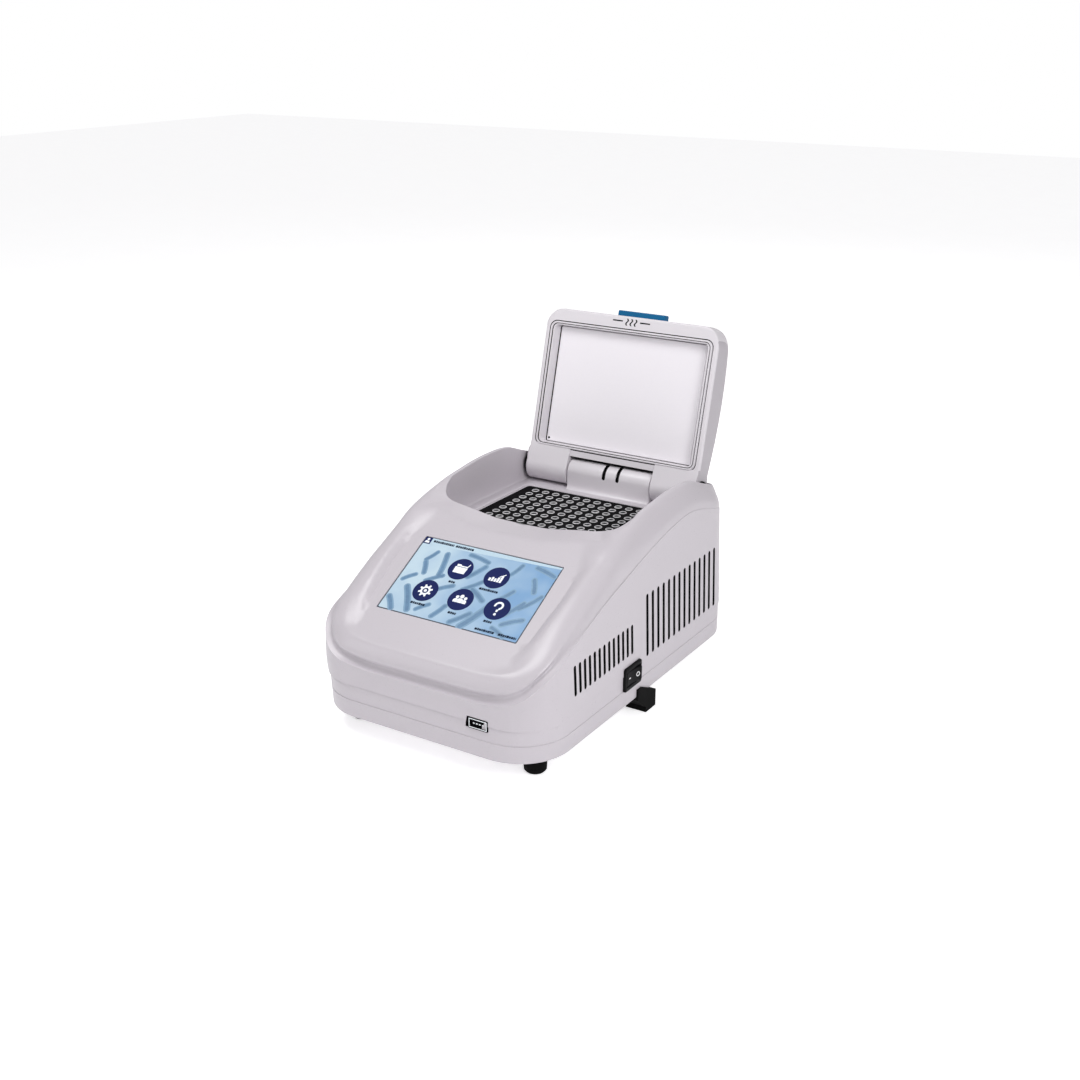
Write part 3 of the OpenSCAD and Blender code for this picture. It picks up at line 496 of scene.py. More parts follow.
def band(s):
    """From the ridge over the groove and the bevel to the crest, at one place round the case."""
    low = wall_at(s, ridge(abs(s)), draft(ridge(abs(s))))
    top = crest(s)
    to_corner = smooth((abs(s) - 46) / 34)
    to_side = smooth((abs(s) - 88) / 60)
    to_rear = smooth((abs(s) - 175) / 70)
    out = []
    for f, c, e, g in zip(BAND_FRONT, BAND_CORNER, BAND_SIDE, BAND_REAR):
        h = (f * (1 - to_corner) + c * to_corner) * (1 - to_side) + (e * (1 - to_rear) + g * to_rear) * to_side
        out.append((low[0] + (top[0] - low[0]) * h[0], low[1] + (top[1] - low[1]) * h[0],
                    low[2] + (top[2] - low[2]) * h[1]))
    return out


# ---- recess outline ----

REC_W, REC_FRONT, REC_REAR = 76.0, -15.5, 129.0
REC_FR, REC_RR = 25.0, 8.0
ARC_F = REC_FR * math.pi / 2
ARC_R = REC_RR * math.pi / 2
Q0 = REC_W - REC_FR
Q1 = Q0 + ARC_F
Q2 = Q1 + (REC_REAR - REC_RR) - (REC_FRONT + REC_FR)
Q3 = Q2 + ARC_R
Q4 = Q3 + REC_W - REC_RR


def recess_at(q, grow):
    side = 1 if q >= 0 else -1
    q = abs(q)
    if q <= Q0:
        x, y = q, REC_FRONT - grow
    elif q <= Q1:
        a = (q - Q0) / REC_FR
        x, y = Q0 + (REC_FR + grow) * math.sin(a), REC_FRONT + REC_FR - (REC_FR + grow) * math.cos(a)
    elif q <= Q2:
        x, y = REC_W + grow, REC_FRONT + REC_FR + q - Q1
    elif q <= Q3:
        a = (q - Q2) / REC_RR
        x = REC_W - REC_RR + (REC_RR + grow) * math.cos(a)
        y = REC_REAR - REC_RR + (REC_RR + grow) * math.sin(a)
    else:
        x, y = REC_W - REC_RR - (q - Q3), REC_REAR + grow
    return side * x, y


front_lip = track([(0, 125.8), (20, 126.3), (35, 128.4), (Q0, 130.8), (62, 131.8), (70, 133), (80, 136.6),
                   (Q1, 140.3)])


def lip_z(q):
    """Height of the recess's edge; q runs round it from the middle of the front."""
    return front_lip(q) if q < Q1 else side_top(recess_at(q, 0)[1])


half_lip = []
for a, b, k in ((0, Q0, 18), (Q0, Q1, 14), (Q1, Q2, 34), (Q2, Q3, 7), (Q3, Q4, 16)):
    half_lip += [a + (b - a) * i / k for i in range(k)]
LIP = [-q for q in reversed(half_lip)] + half_lip[1:] + [Q4]
LIP_R = 1.0

panel_edge = track([(-132, 42), (-129, 53), (-124.6, 60), (-117, 61.2), (-107, 63.4), (-90, 65.4), (-73, 67.4),
                    (-53, 67.5), (-42, 63), (-30, 60)])
rail_out = track([(-131.6, 38), (-129.2, 53.5), (-125.6, 62), (-118.5, 67.5), (-106, 70.5), (-80, 73.4),
                  (-55, 75), (-25, 77)])
rail_rise = track([(-126, 0.2), (-118, 1.6), (-106, 3.4), (-92, 4.2), (-75, 4), (-60, 3.2), (-45, 2.4), (-35, 2.5),
                   (-28, 1.3)])
bend_y = track([(0, -37), (12, -36.6), (29, -35.2), (38, -33.8), (46, -32.2), (55, -30), (64, -28.6), (70, -29),
                (78, -34)])


def slope_z(x, y):
    """Height of the sloping front with the rail that rises on each side of the panel."""
    wide = rail_out(y) - panel_edge(y)
    u = (abs(x) - panel_edge(y)) / wide if wide > 0.5 else 0
    return plane(y) + rail_rise(y) * math.sin(min(1.0, max(0.0, u)) * math.pi / 2)


scoop = [(0, -37), (12, -36.6), (29, -35.2), (38, -33.8), (46, -32.2), (55, -30), (62, -28.6), (68, -28.6),
         (73, -30.5)]
behind = [s for s in half_ring if crest_y(s) > -33]
outer_line = [(x, y, slope_z(x, y)) for x, y in scoop] + [crest(s) for s in behind]
outer_line = [(-x, y, z) for x, y, z in reversed(outer_line)] + outer_line[1:]
inner_line = [recess_at(q, LIP_R) + (lip_z(abs(q)),) for q in LIP]


def top_z(x, y):
    """Height of the case's top between the crest and the recess."""
    if y < bend_y(abs(x)):
        return slope_z(x, y)
    xs, ys = np.array([x]), np.array([y])
    d0, z0 = nearest(outer_line, xs, ys)
    d1, z1 = nearest(inner_line, xs, ys)
    t = d0[0] / (d0[0] + d1[0] + 1e-9)
    return z0[0] + (z1[0] - z0[0]) * t


# ---- screen frame ----

SC_COS, SC_SIN = math.cos(math.radians(28.9)), math.sin(math.radians(28.9))


def on_screen(u, v, w=0.0):
    """Point in the frame of the sloping panel: u to the right, v up the slope, w out of it."""
    return u, -80.1 + v * SC_COS - w * SC_SIN, 101.0 + v * SC_SIN + w * SC_COS


def capsule(cx, low, high, wide, steps=6):
    """Upright slot with round ends, in (s, z)."""
    r = wide / 2
    top = [(cx + r * math.cos(math.pi * i / steps), high - r + r * math.sin(math.pi * i / steps))
           for i in range(steps + 1)]
    low_end = [(cx - r * math.cos(math.pi * i / steps), low + r - r * math.sin(math.pi * i / steps))
               for i in range(steps + 1)]
    return top + low_end


# ---- upper shell ----

up = Shape()
bottom = SEAM + 0.3
s_of_y = lambda y: SIDE_1 + y + 110
slots = []
for side in (-1, 1):
    for i in range(13):
        slots.append(capsule(side * s_of_y(-95.7 + 6.2 * i), 51.8, 73.2, 3.1))
    for i in range(14):
        slots.append(capsule(side * s_of_y(0.3 + 7.95 * i), 42, 87.8, 3.4))
sw0, sw1 = s_of_y(-32), s_of_y(-12)
notches = [(39.5, 54.5, 43.3), (sw0, sw1, 43.6)]
low_line = [s for s in RING if abs(s) < PANEL_SIDE]
low_line = [-PANEL_SIDE] + low_line + [PANEL_SIDE]
outline = []
for s in low_line:
    hit = [n for n in notches if n[0] <= s <= n[1]]
    if not hit:
        outline.append((s, bottom))
for a, b, high in notches:
    spot = next(i for i, p in enumerate(outline) if p[0] > a)
    outline[spot:spot] = [(a, bottom), (a, high), (b, high), (b, bottom)]
outline += [(PANEL_SIDE, 60), (PANEL_SIDE, 84), (PANEL_SIDE, PANEL_TOP), (REAR_MID - 28, PANEL_TOP),
            (REAR_MID, PANEL_TOP)]
outline += [(s, ridge(abs(s))) for s in reversed(RING)]
outline += [(-REAR_MID, PANEL_TOP), (-REAR_MID + 28, PANEL_TOP), (-PANEL_SIDE, PANEL_TOP), (-PANEL_SIDE, 84),
            (-PANEL_SIDE, 60)]
up.patch(outline, slots, lambda s, z: wall_at(s, z, draft(z)), grid=(4.0, 5.0))
# Vent slots: walls and a back wall 3 mm in, in near-black paint as painted shade inside the slots.
for slot in slots:
    rings = [[wall_at(s, z, draft(z) + d) for s, z in slot] for d in (0, 0.1, 3)]
    up.loft(rings[:2])
    up.loft(rings[1:], 1)
    up.cap(rings[2], 1)


def in_notch(s, cuts):
    return any(a - 0.01 <= s <= b + 0.01 for a, b, _ in cuts)


def seam_lip(shape, line, level, away, cuts, grow):
    """Turned-in edge along the seam, left out where a port crosses it."""
    spans, run = [], []
    marks = sorted(set(line + [c for a, b, _ in cuts for c in (a, b)]))
    for s in marks:
        inner = any(a + 0.01 < s < b - 0.01 for a, b, _ in cuts)
        if inner:
            continue
        run.append(s)
        if any(abs(s - a) < 0.01 for a, _, _ in cuts):
            spans.append(run)
            run = []
    spans.append(run)
    for run in spans:
        rings = [[wall_at(s, level, grow) for s in run],
                 [wall_at(s, level + away * 0.3, grow + 0.25) for s in run],
                 [wall_at(s, level + away * 0.3, grow + 2.6) for s in run]]
        shape.loft(rings, closed=False)


seam_lip(up, low_line, bottom, -1, notches, draft(bottom))
up.loft([list(c) for c in zip(*[band(s) for s in RING])], closed=False)
plan_ring = [crest(s) for s in RING[:-1]]
screen_hole = [on_screen(u, v)[:2] for u, v in round_rect(111.6, 66.6, 0.9, steps=3)]
lip_hole = [p[:2] for p in inner_line[:-1]]
rails = []
for side in (-1, 1):
    rails.append([(side * panel_edge(y), y) for y in [-127 + 3 * i for i in range(28)]])
    rails.append([(side * (0.5 * (panel_edge(y) + rail_out(y))), y) for y in [-116 + 3 * i for i in range(24)]])
bend_line = [(x, bend_y(abs(x))) for x in [-72 + 4 * i for i in range(37)]]
up.patch([p[:2] for p in plan_ring], [screen_hole, lip_hole],
         lambda x, y: (x, y, top_z(x, y)), lines=rails + [bend_line], grid=(3.0, 3.0), edge=plan_ring)
up.verts = [v if abs(v[2] - plane(v[1])) > 1e-6 else v for v in up.verts]
hole = round_rect(111.6, 66.6, 0.9, steps=3)
up.loft([[on_screen(u, v) for u, v in hole],
         [on_screen(u * 0.998, v * 0.997, -0.2) for u, v in hole],
         [on_screen(u * 0.998, v * 0.997, -2.0) for u, v in hole]])
rings = []
for k in range(6):
    a = math.pi / 2 * k / 5
    rings.append([recess_at(q, LIP_R * (1 - math.sin(a))) + (lip_z(abs(q)) - LIP_R * (1 - math.cos(a)),)
                  for q in LIP[:-1]])
for drop in (0.25, 0.5, 0.75):
    rings.append([recess_at(q, 0) + ((lip_z(abs(q)) - LIP_R) * (1 - drop) + 113.5 * drop,) for q in LIP[:-1]])
for k in range(5):
    a = math.pi / 2 * k / 4
    rings.append([recess_at(q, -2 * (1 - math.cos(a))) + (113.5 - 2 * math.sin(a),) for q in LIP[:-1]])
up.loft(rings)
up.patch([p[:2] for p in rings[-1]], [round_rect(126, 88, 3, 0, 48.5, 4)], lambda x, y: (x, y, 111.5))
build("upper_shell", up, "base", [shell, black_and_painted_shade], ["upper_case"], angle=30)

# ---- lower shell ----

lo = Shape()
LOW_IN = 0.5
lo_top = SEAM - 0.3
cuts = [(39.5, 54.5, 35.5), (sw0, sw1, 29.6)]
top_line = []
for s in low_line:
    if not any(a <= s <= b for a, b, _ in cuts):
        top_line.append((s, lo_top))
for a, b, low in cuts:
    spot = next(i for i, p in enumerate(top_line) if p[0] > a)
    top_line[spot:spot] = [(a, lo_top), (a, low), (b, low), (b, lo_top)]
base_z = 16.9
outline = top_line + [(PANEL_SIDE, PANEL_LOW), (REAR_MID, PANEL_LOW)]
outline += [(s, base_z) for s in reversed(RING)] + [(-REAR_MID, PANEL_LOW), (-PANEL_SIDE, PANEL_LOW)]
groove = [(28.2, 0.0), (28.45, 0.35), (28.95, 0.35), (29.2, 0.0)]


def low_inset(z):
    for (z0, d0), (z1, d1) in zip(groove[:-1], groove[1:]):
        if z0 - 1e-6 <= z <= z1 + 1e-6:
            return LOW_IN + d0 + (d1 - d0) * (z - z0) / (z1 - z0)
    return LOW_IN


lines = [[(s, z) for s in low_line] for z, _ in groove]
lo.patch(outline, [], lambda s, z: wall_at(s, z, low_inset(z)), lines=lines, grid=(4.0, 3.0))
seam_lip(lo, low_line, lo_top, 1, cuts, LOW_IN)
rings = []
for k in range(5):
    a = math.pi / 2 * k / 4
    rings.append([wall_at(s, base_z - 1.1 * math.sin(a), LOW_IN + 1.1 * (1 - math.cos(a))) for s in RING[:-1]])
rings.append([wall_at(s, base_z - 1.1, LOW_IN + 2.6) for s in RING[:-1]])
rings.append([wall_at(s, 17.5, LOW_IN + 3.0) for s in RING[:-1]])
lo.loft(rings)
grilles = [round_rect(3, 60, 1.4, 8 * i, 50, 3) for i in range(-6, 7)]
lo.patch([p[:2] for p in rings[-1]], grilles, lambda x, y: (x, y, 17.5))
for g in grilles:
    lo.loft([[(x, y, z) for x, y in g] for z in (17.5, 20)])
build("lower_shell", lo, "base", [shell, black_and_painted_shade], ["lower_case"], angle=30)

# ---- block, frame and gasket ----

BLOCK_Y = 48.5


def frame_ring(w, d, r, z):
    return [(x, y, z) for x, y in round_rect(w, d, r, 0, BLOCK_Y, 5)]


ledge = Shape()
ledge.loft([frame_ring(132, 94, 5, 111.4), frame_ring(132, 94, 5, 112.9), frame_ring(131.6, 93.6, 4.8, 113.3),
            frame_ring(130.8, 92.8, 4.4, 113.5), frame_ring(126.6, 84.6, 4.0, 113.5),
            frame_ring(126.0, 84.0, 3.8, 113.3), frame_ring(125.6, 83.6, 3.6, 112.7),
            frame_ring(122.2, 79.2, 3.2, 112.5), frame_ring(121.4, 78.4, 3, 112.2), frame_ring(121, 78, 3, 108)])
build("block_ledge", ledge, "base", [shell], ["block_frame"], angle=25)
seal = Shape()
seal.loft([frame_ring(120.9, 77.9, 3, 108), frame_ring(120.9, 77.9, 3, 113.0), frame_ring(120.3, 77.3, 2.8, 113.7),
           frame_ring(119.5, 76.5, 2.5, 113.9), frame_ring(118.7, 75.7, 2.3, 113.7),
           frame_ring(118.1, 75.1, 2.1, 113.0), frame_ring(118.1, 75.1, 2.1, 108)])
build("block_seal", seal, "base", [gasket_black], ["block_gasket"], angle=50)
blk = Shape()
wells = []
for i in range(12):
    for j in range(8):
        wells.append((9 * i - 49.5, BLOCK_Y + 9 * j - 31.5))
edge_ring = round_rect(117.2, 74.2, 1.8, 0, BLOCK_Y, 4)
blk.patch(edge_ring, [circle(x, y, 2.9, 20) for x, y in wells], lambda x, y: (x, y, 113.5))
blk.loft([[(x, y, 113.5) for x, y in edge_ring],
          [(x, y, 113.1) for x, y in round_rect(118, 75, 2, 0, BLOCK_Y, 4)],
          [(x, y, 97.5) for x, y in round_rect(118, 75, 2, 0, BLOCK_Y, 4)]])
blk.cap([(x, y, 97.5) for x, y in reversed(round_rect(118, 75, 2, 0, BLOCK_Y, 4))])
for x, y in wells:
    def hoop(r, z):
        return [(a, b, z) for a, b in circle(x, y, r, 20)]
    blk.loft([hoop(2.9, 113.5), hoop(2.85, 113.75), hoop(2.65, 113.95), hoop(2.25, 113.95), hoop(2.05, 113.6)], 1)
    blk.loft([hoop(2.05, 113.6), hoop(1.75, 109.5), hoop(1.0, 100)], 2)
    blk.cap(hoop(1.0, 100), 2)
build("well_block", blk, "base", [deck, well_metal, well_inner], ["sample_block"], angle=40)

# ---- screen ----

glass = Shape()
face = round_rect(111.2, 66.2, 0.8, steps=3)
glass.loft([[on_screen(u, v, w) for u, v in round_rect(111.2 - 2 * k, 66.2 - 2 * k, 0.8, steps=3)]
            for k, w in ((0, -2.2), (0, -0.6), (0.25, -0.35), (0.9, -0.35))], 1)
glass.cap([on_screen(u, v, -0.35) for u, v in round_rect(109.4, 64.4, 0.8, steps=3)], 0)
build("screen_panel", glass, "base", [screen_wash, screen_edge], ["touch_glass"])


def sticker(shape, outline2d, level, mat=0, thick=0.02):
    """Thin raised graphic on the screen."""
    shape.loft([[on_screen(u, v, level - thick) for u, v in outline2d],
                [on_screen(u, v, level) for u, v in outline2d]], mat)
    shape.cap([on_screen(u, v, level) for u, v in outline2d], mat)


def rod(a, b, wide, curve=0.0):
    """Outline of a bent rod from a to b."""
    ax, ay = a
    bx, by = b
    size = math.hypot(bx - ax, by - ay)
    dx, dy = (bx - ax) / size, (by - ay) / size
    line = []
    for i in range(13):
        t = i / 12
        off = curve * math.sin(math.pi * t)
        line.append((ax + (bx - ax) * t - dy * off, ay + (by - ay) * t + dx * off))
    left, right = [], []
    for i, (px, py) in enumerate(line):
        q = line[min(i + 1, 12)]
        p = line[max(i - 1, 0)]
        n = math.hypot(q[0] - p[0], q[1] - p[1])
        nx, ny = -(q[1] - p[1]) / n, (q[0] - p[0]) / n
        left.append((px + nx * wide / 2, py + ny * wide / 2))
        right.append((px - nx * wide / 2, py - ny * wide / 2))
    tip = [(bx + dx * wide / 2 * math.sin(a2) + dy * -wide / 2 * -math.cos(a2) * -1,
            by + dy * wide / 2 * math.sin(a2) + dx * wide / 2 * math.cos(a2))
           for a2 in [math.pi * k / 8 for k in range(1, 8)]]
    tail = [(ax - dx * wide / 2 * math.sin(a2) + dy * wide / 2 * math.cos(a2),
             ay - dy * wide / 2 * math.sin(a2) - dx * wide / 2 * math.cos(a2))
            for a2 in [math.pi * k / 8 for k in range(1, 8)]]
    return left + tip + right[::-1] + tail


art = Shape()
RODS = [((-31, 22), (-27, 3), 4.6, 0.5), ((-43, 12), (-39, 3), 4.2, 0.3), ((2, 19), (-6, 8), 4.6, 0.3),
        ((32, 5), (25, -4), 4.2, 0.4), ((21, -13), (11, -31), 6.2, 0.4), ((41, 18), (46, 8), 4.2, 0.3),
        ((53, 6), (43, -7), 4.2, 0.5), ((-52, -22), (-45, -31), 4.6, 0.3), ((-44, -11), (-33, -29), 5.0, 0.5),
        ((-8, -19), (-13, -29), 4.4, 0.3), ((3, -1), (15, -8), 4.4, 0.3), ((-51, -6), (-44, 0), 3.8, 0.3),
        ((-14, 26), (2, 23), 3.8, 0.4), ((38, 28), (53, 24), 4.2, 0.3), ((-39, 22), (-44, 14), 3.6, 0.3),
        ((27, 27), (23, 18), 3.8, 0.3), ((38, -22), (50, -15), 4.6, 0.4), ((-27, -27), (-20, -21), 3.8, 0.3),
        ((33, -26), (44, -31), 3.8, 0.3), ((-22, -8), (-12, -2), 4.0, 0.3), ((44, -2), (36, -14), 4.2, 0.3),
        ((8, 8), (-4, -3), 4.0, 0.3), ((-34, -3), (-24, 4), 3.8, 0.3), ((12, -20), (2, -30), 4.6, 0.3)]
for i, (a, b, wide, curve) in enumerate(RODS):
    sticker(art, rod(a, b, wide, curve), -0.34 + 0.0006 * i, 0, 0.005)
for i, (a, b, wide, curve) in enumerate(RODS):
    sticker(art, rod(a, b, wide * 0.55, curve), -0.325 + 0.0006 * i, 1, 0.005)
sticker(art, [(-55, 26.7), (55, 30.9), (55, 32.4), (-55, 32.6)], -0.31, 2, 0.005)
build("screen_picture", art, "base", [rod_far, rod_near, bar_pale])

menu = Shape()
DOTS = [(-14.6, 12.6), (14.5, 12.6), (-29.0, -10.9), (-0.4, -11.0), (28.5, -11.0)]
for u, v in DOTS:
    sticker(menu, circle(u, v, 9.2, 40), -0.27)
sticker(menu, [(-55.2, 26.9), (-49.4, 26.9), (-49.4, 32.7), (-55.2, 32.7)], -0.27)
build("menu_buttons", menu, "base", [navy])

pics = Shape()
LEVEL = -0.24


def put(outline2d, mat=0):
    sticker(pics, outline2d, LEVEL, mat, 0.025)


def box2(x0, y0, x1, y1):
    return [(x0, y0), (x1, y0), (x1, y1), (x0, y1)]


def ring2(cx, cy, r0, r1, a0=0, a1=360, steps=20):
    outer2 = [(cx + r1 * math.cos(math.radians(a0 + (a1 - a0) * i / steps)),
               cy + r1 * math.sin(math.radians(a0 + (a1 - a0) * i / steps))) for i in range(steps + 1)]
    inner2 = [(cx + r0 * math.cos(math.radians(a0 + (a1 - a0) * i / steps)),
               cy + r0 * math.sin(math.radians(a0 + (a1 - a0) * i / steps))) for i in range(steps + 1)]
    for i in range(steps):
        put([outer2[i], outer2[i + 1], inner2[i + 1], inner2[i]])


u, v = DOTS[0]
put([(u - 4.6, v - 3.6), (u + 4.4, v - 3.6), (u + 4.9, v + 1.6), (u - 4.9, v + 1.6)])
put([(u - 4.2, v + 2.1), (u + 4.0, v + 2.1), (u + 4.0, v + 3.0), (u - 0.6, v + 3.0), (u - 1.4, v + 3.9), (u - 4.2, v + 3.9)])
put([(u + 3.6, v + 1.8), (u + 4.4, v + 1.8), (u + 5.6, v + 5.2), (u + 4.9, v + 5.4)])
u, v = DOTS[1]
for i, high in enumerate((1.6, 2.6, 1.9, 3.2, 5.0)):
    put(box2(u - 5.2 + 2.1 * i, v - 3.4, u - 3.6 + 2.1 * i, v - 3.4 + high + 0.9))
put([(u + 1.5, v + 1.4), (u + 2.1, v + 0.9), (u + 5.8, v + 3.8), (u + 5.3, v + 4.3)])
u, v = DOTS[2]
ring2(u, v, 2.3, 3.7)
for i in range(8):
    a = math.radians(45 * i + 22.5)
    c0, s0 = math.cos(a), math.sin(a)
    put([(u + r * c0 - w * s0, v + r * s0 + w * c0)
         for r, w in ((3.6, 0.85), (3.6, -0.85), (5.2, -0.6), (5.2, 0.6))])
put(circle(u, v, 1.2, 12))
u, v = DOTS[3]
for du, dv, k in ((-3.2, 0.2, 0.85), (3.2, 0.2, 0.85), (0, 0.9, 1.05)):
    put(circle(u + du, v + dv + 1.6 * k, 1.45 * k, 14))
    body = [(u + du - 2.2 * k, v + dv - 3.6 * k), (u + du + 2.2 * k, v + dv - 3.6 * k)]
    body += [(u + du + 2.2 * k * math.cos(math.radians(a)), v + dv - 1.6 * k + 1.6 * k * math.sin(math.radians(a)))
             for a in range(0, 181, 20)]
    put(body)
u, v = DOTS[4]
ring2(u, v + 2.4, 2.0, 3.5, 200, -70, 18)
put(box2(u - 0.15, v - 2.6, u + 1.35, v - 0.6))
put(circle(u + 0.6, v - 4.6, 1.0, 14))
put(circle(-52.3, 31.0, 1.0, 12))
put([(-54.2, 27.8), (-50.4, 27.8), (-50.9, 29.6), (-53.7, 29.6)])


def dashes(left, right, v, high):
    """Row of short blocks that stands for a caption."""
    at, k = left, 0
    while at < right - 0.5:
        step = min((1.7, 1.1, 1.4, 0.9)[k % 4], right - at)
        lift = (0.0, 0.12, -0.1)[k % 3]
        put(box2(at, v - high / 2, at + step, v + high / 2 + lift), 1)
        at += step + 0.35
        k += 1


for u, v, wide in ((-14.6, 0.9, 5.2), (14.5, 1.3, 14.5), (-28.2, -22.4, 11.5), (0.2, -22.9, 7), (28.0, -22.4, 7)):
    dashes(u - wide / 2, u + wide / 2, v, 1.7)
dashes(-47.5, -30.5, 30.2, 1.8)
dashes(-29, -14, 30.2, 1.8)
dashes(22.0, 37.5, -29.7, 1.7)
dashes(40.0, 53.6, -29.7, 1.7)
build("menu_marks", pics, "base", [icon_white, screen_ink])

# ---- USB port ----

port = Shape()


def port_ring(w, h, r, y):
    return [(47 + a, y, 39.4 + b) for a, b in round_rect(w, h, r, steps=3)]


# Near-black paint on the port's front, inside and tongue: the real black of its plastic, and painted shade inside the
# opening.
port.loft([port_ring(14.9, 7.7, 0.5, -136), port_ring(14.9, 7.7, 0.5, -140.1), port_ring(14.5, 7.3, 0.4, -140.3),
           port_ring(13.5, 6.3, 0.3, -140.3)], 1)
port.loft([port_ring(13.5, 6.3, 0.3, -140.3), port_ring(12.5, 5.3, 0.3, -140.3)], 2)
port.loft([port_ring(12.5, 5.3, 0.3, -140.3), port_ring(12.4, 5.2, 0.3, -131)], 1)
port.cap(port_ring(12.4, 5.2, 0.3, -131), 1)
tongue = [(47 + a, 39.4 + 0.9 + b) for a, b in round_rect(10.4, 1.5, 0.3, steps=2)]
port.loft([[(a, y, b) for a, b in tongue] for y in (-131, -139.3)], 1)
port.cap([(a, -139.3, b) for a, b in tongue], 1)
for i in range(4):
    contact = box2(47 - 4.0 + 2.3 * i, 38.9, 47 - 3.0 + 2.3 * i, 39.6)
    port.loft([[(a, y, b) for a, b in contact] for y in (-131, -139.6)], 2)
    port.cap([(a, -139.6, b) for a, b in contact], 2)
build("port_usb", port, "base", [port_metal, black_and_painted_shade, icon_white], ["usb_port"])

# ---- power switch ----

SW_Y, SW_Z = -22.0, 36.5
bezel = Shape()


def switch_ring(w, h, r, x):
    return [(x, SW_Y + a, SW_Z + b) for a, b in round_rect(w, h, r, steps=4)]


bezel.loft([switch_ring(23, 17, 1.6, 91.4), switch_ring(23, 17, 1.6, 92.9), switch_ring(22.5, 16.5, 1.4, 93.4),
            switch_ring(21.7, 15.7, 1.0, 93.6), switch_ring(19.4, 11.6, 0.8, 93.6), switch_ring(18.6, 10.6, 0.5, 93.1),
            switch_ring(18.4, 10.4, 0.5, 85)])
build("switch_frame", bezel, "base", [black], ["switch_housing"], angle=28)
rock = Shape()
side_view = spline([(-9, -2.2), (-8.9, 1.6), (-8.2, 2.9), (-5, 2.35), (0, 2.0), (5, 2.35), (8.2, 2.9), (8.9, 1.6),
                    (9, -2.2)], 4)


def rocker_ring(z, k):
    """Section of the rocker across its axis, tilted so that its rear half stands proud."""
    a = math.radians(-7)
    out = []
    for p, q in side_view:
        p, q = p * k, q - (1 - k) * 4
        out.append((91.5 + q * math.cos(a) - p * math.sin(a), SW_Y + q * math.sin(a) + p * math.cos(a), SW_Z + z))
    return out


rock.loft([rocker_ring(z, k) for z, k in ((-4.95, 0.95), (-4.8, 0.98), (-4.3, 1), (0, 1), (4.3, 1), (4.8, 0.98),
                                        (4.95, 0.95))])
rock.cap(rocker_ring(-4.95, 0.95))
rock.cap(rocker_ring(4.95, 0.95))


def rocker_spot(p, z, lift):
    """Point just above the rocker's face, p along it."""
    a = math.radians(-7)
    q = float(np.interp(p, [r[0] for r in side_view], [r[1] for r in side_view])) + lift
    return 91.5 + q * math.cos(a) - p * math.sin(a), SW_Y + q * math.sin(a) + p * math.cos(a), SW_Z + z


for i in range(20):
    quad = []
    for r, k in ((1.75, i), (1.75, i + 1), (1.15, i + 1), (1.15, i)):
        a = 2 * math.pi * k / 20
        quad.append(rocker_spot(4.6 + r * math.cos(a), r * math.sin(a), 0.06))
    rock.cap(quad, 1)
rock.cap([rocker_spot(p, z, 0.06) for p, z in ((-5.9, -0.35), (-3.6, -0.35), (-3.6, 0.35), (-5.9, 0.35))], 1)
build("switch_key", rock, "rocker", [black, white_mark], ["switch_rocker"], angle=30)

# ---- hinge cover ----

HINGE_Y, HINGE_Z = 111.9, 124.0
cover = Shape()
COVER_R = 9.0
section = bend((-COVER_R - 2.6, -12.5), (-COVER_R - 0.2, -12.3), (-COVER_R, -8.6), 6)
section += [(-COVER_R, z) for z in (-6.4, -4.2, -2.0)]
t_axis_at = len(section)
section += [(-COVER_R * math.cos(math.radians(a)), COVER_R * math.sin(math.radians(a))) for a in range(0, 181, 6)]
section += [(COVER_R, -6), (COVER_R, -12.5)]
run = [0.0]
for p, q in zip(section[:-1], section[1:]):
    run.append(run[-1] + math.hypot(q[0] - p[0], q[1] - p[1]))


def on_cover(x, t, depth=0.0):
    """Point on the hinge cover, t along its section from the front edge on the floor."""
    i = min(len(run) - 2, max(0, int(np.searchsorted(run, t)) - 1))
    k = (t - run[i]) / (run[i + 1] - run[i])
    y = section[i][0] + (section[i + 1][0] - section[i][0]) * k
    z = section[i][1] + (section[i + 1][1] - section[i][1]) * k
    ny, nz = -(section[i + 1][1] - section[i][1]), section[i + 1][0] - section[i][0]
    n = math.hypot(ny, nz)
    return x, HINGE_Y + y - depth * ny / n, HINGE_Z + z - depth * nz / n


COVER_W = 35.5
t_axis = run[t_axis_at]
hooks = []
for x in (-3.5, 8.3):
    hooks.append(capsule(x, t_axis - 0.6, t_axis + 14.5, 2.8))
rows = [[(x, t) for x in (-COVER_W + 0.7, 0, COVER_W - 0.7)] for t in run[1:-1]]
flat_outline = [(-COVER_W + 0.7, run[0])] + [(COVER_W - 0.7, t) for t in run] + \
               [(-COVER_W + 0.7, t) for t in reversed(run[1:])]
cover.patch(flat_outline, hooks, on_cover, lines=rows)
# Hook slots: walls and a floor 1.4 mm deep in near-black paint, painted shade inside the slots.
for hook in hooks:
    cover.loft([[on_cover(x, t, d) for x, t in hook] for d in (0, 1.4)], 1)
    cover.cap([on_cover(x, t, 1.4) for x, t in hook], 1)
for side in (-1, 1):
    cover.loft([[on_cover(side * (COVER_W - 0.7), t) for t in run],
                [on_cover(side * (COVER_W - 0.2), t, 0.2) for t in run],
                [on_cover(side * COVER_W, t, 0.7) for t in run]], closed=False)
    cover.cap([on_cover(side * COVER_W, t, 0.7) for t in run])
# The hinge cover wears the lighter lid paint: painted light.
build("hinge_cap", cover, "base", [lid_shell, black_and_painted_shade], ["hinge_cover"], angle=28)

# ---- lid ----

LID_W, LID_END, FACE = 73.0, -121.0, -6.6
SWING = math.radians(104.8)


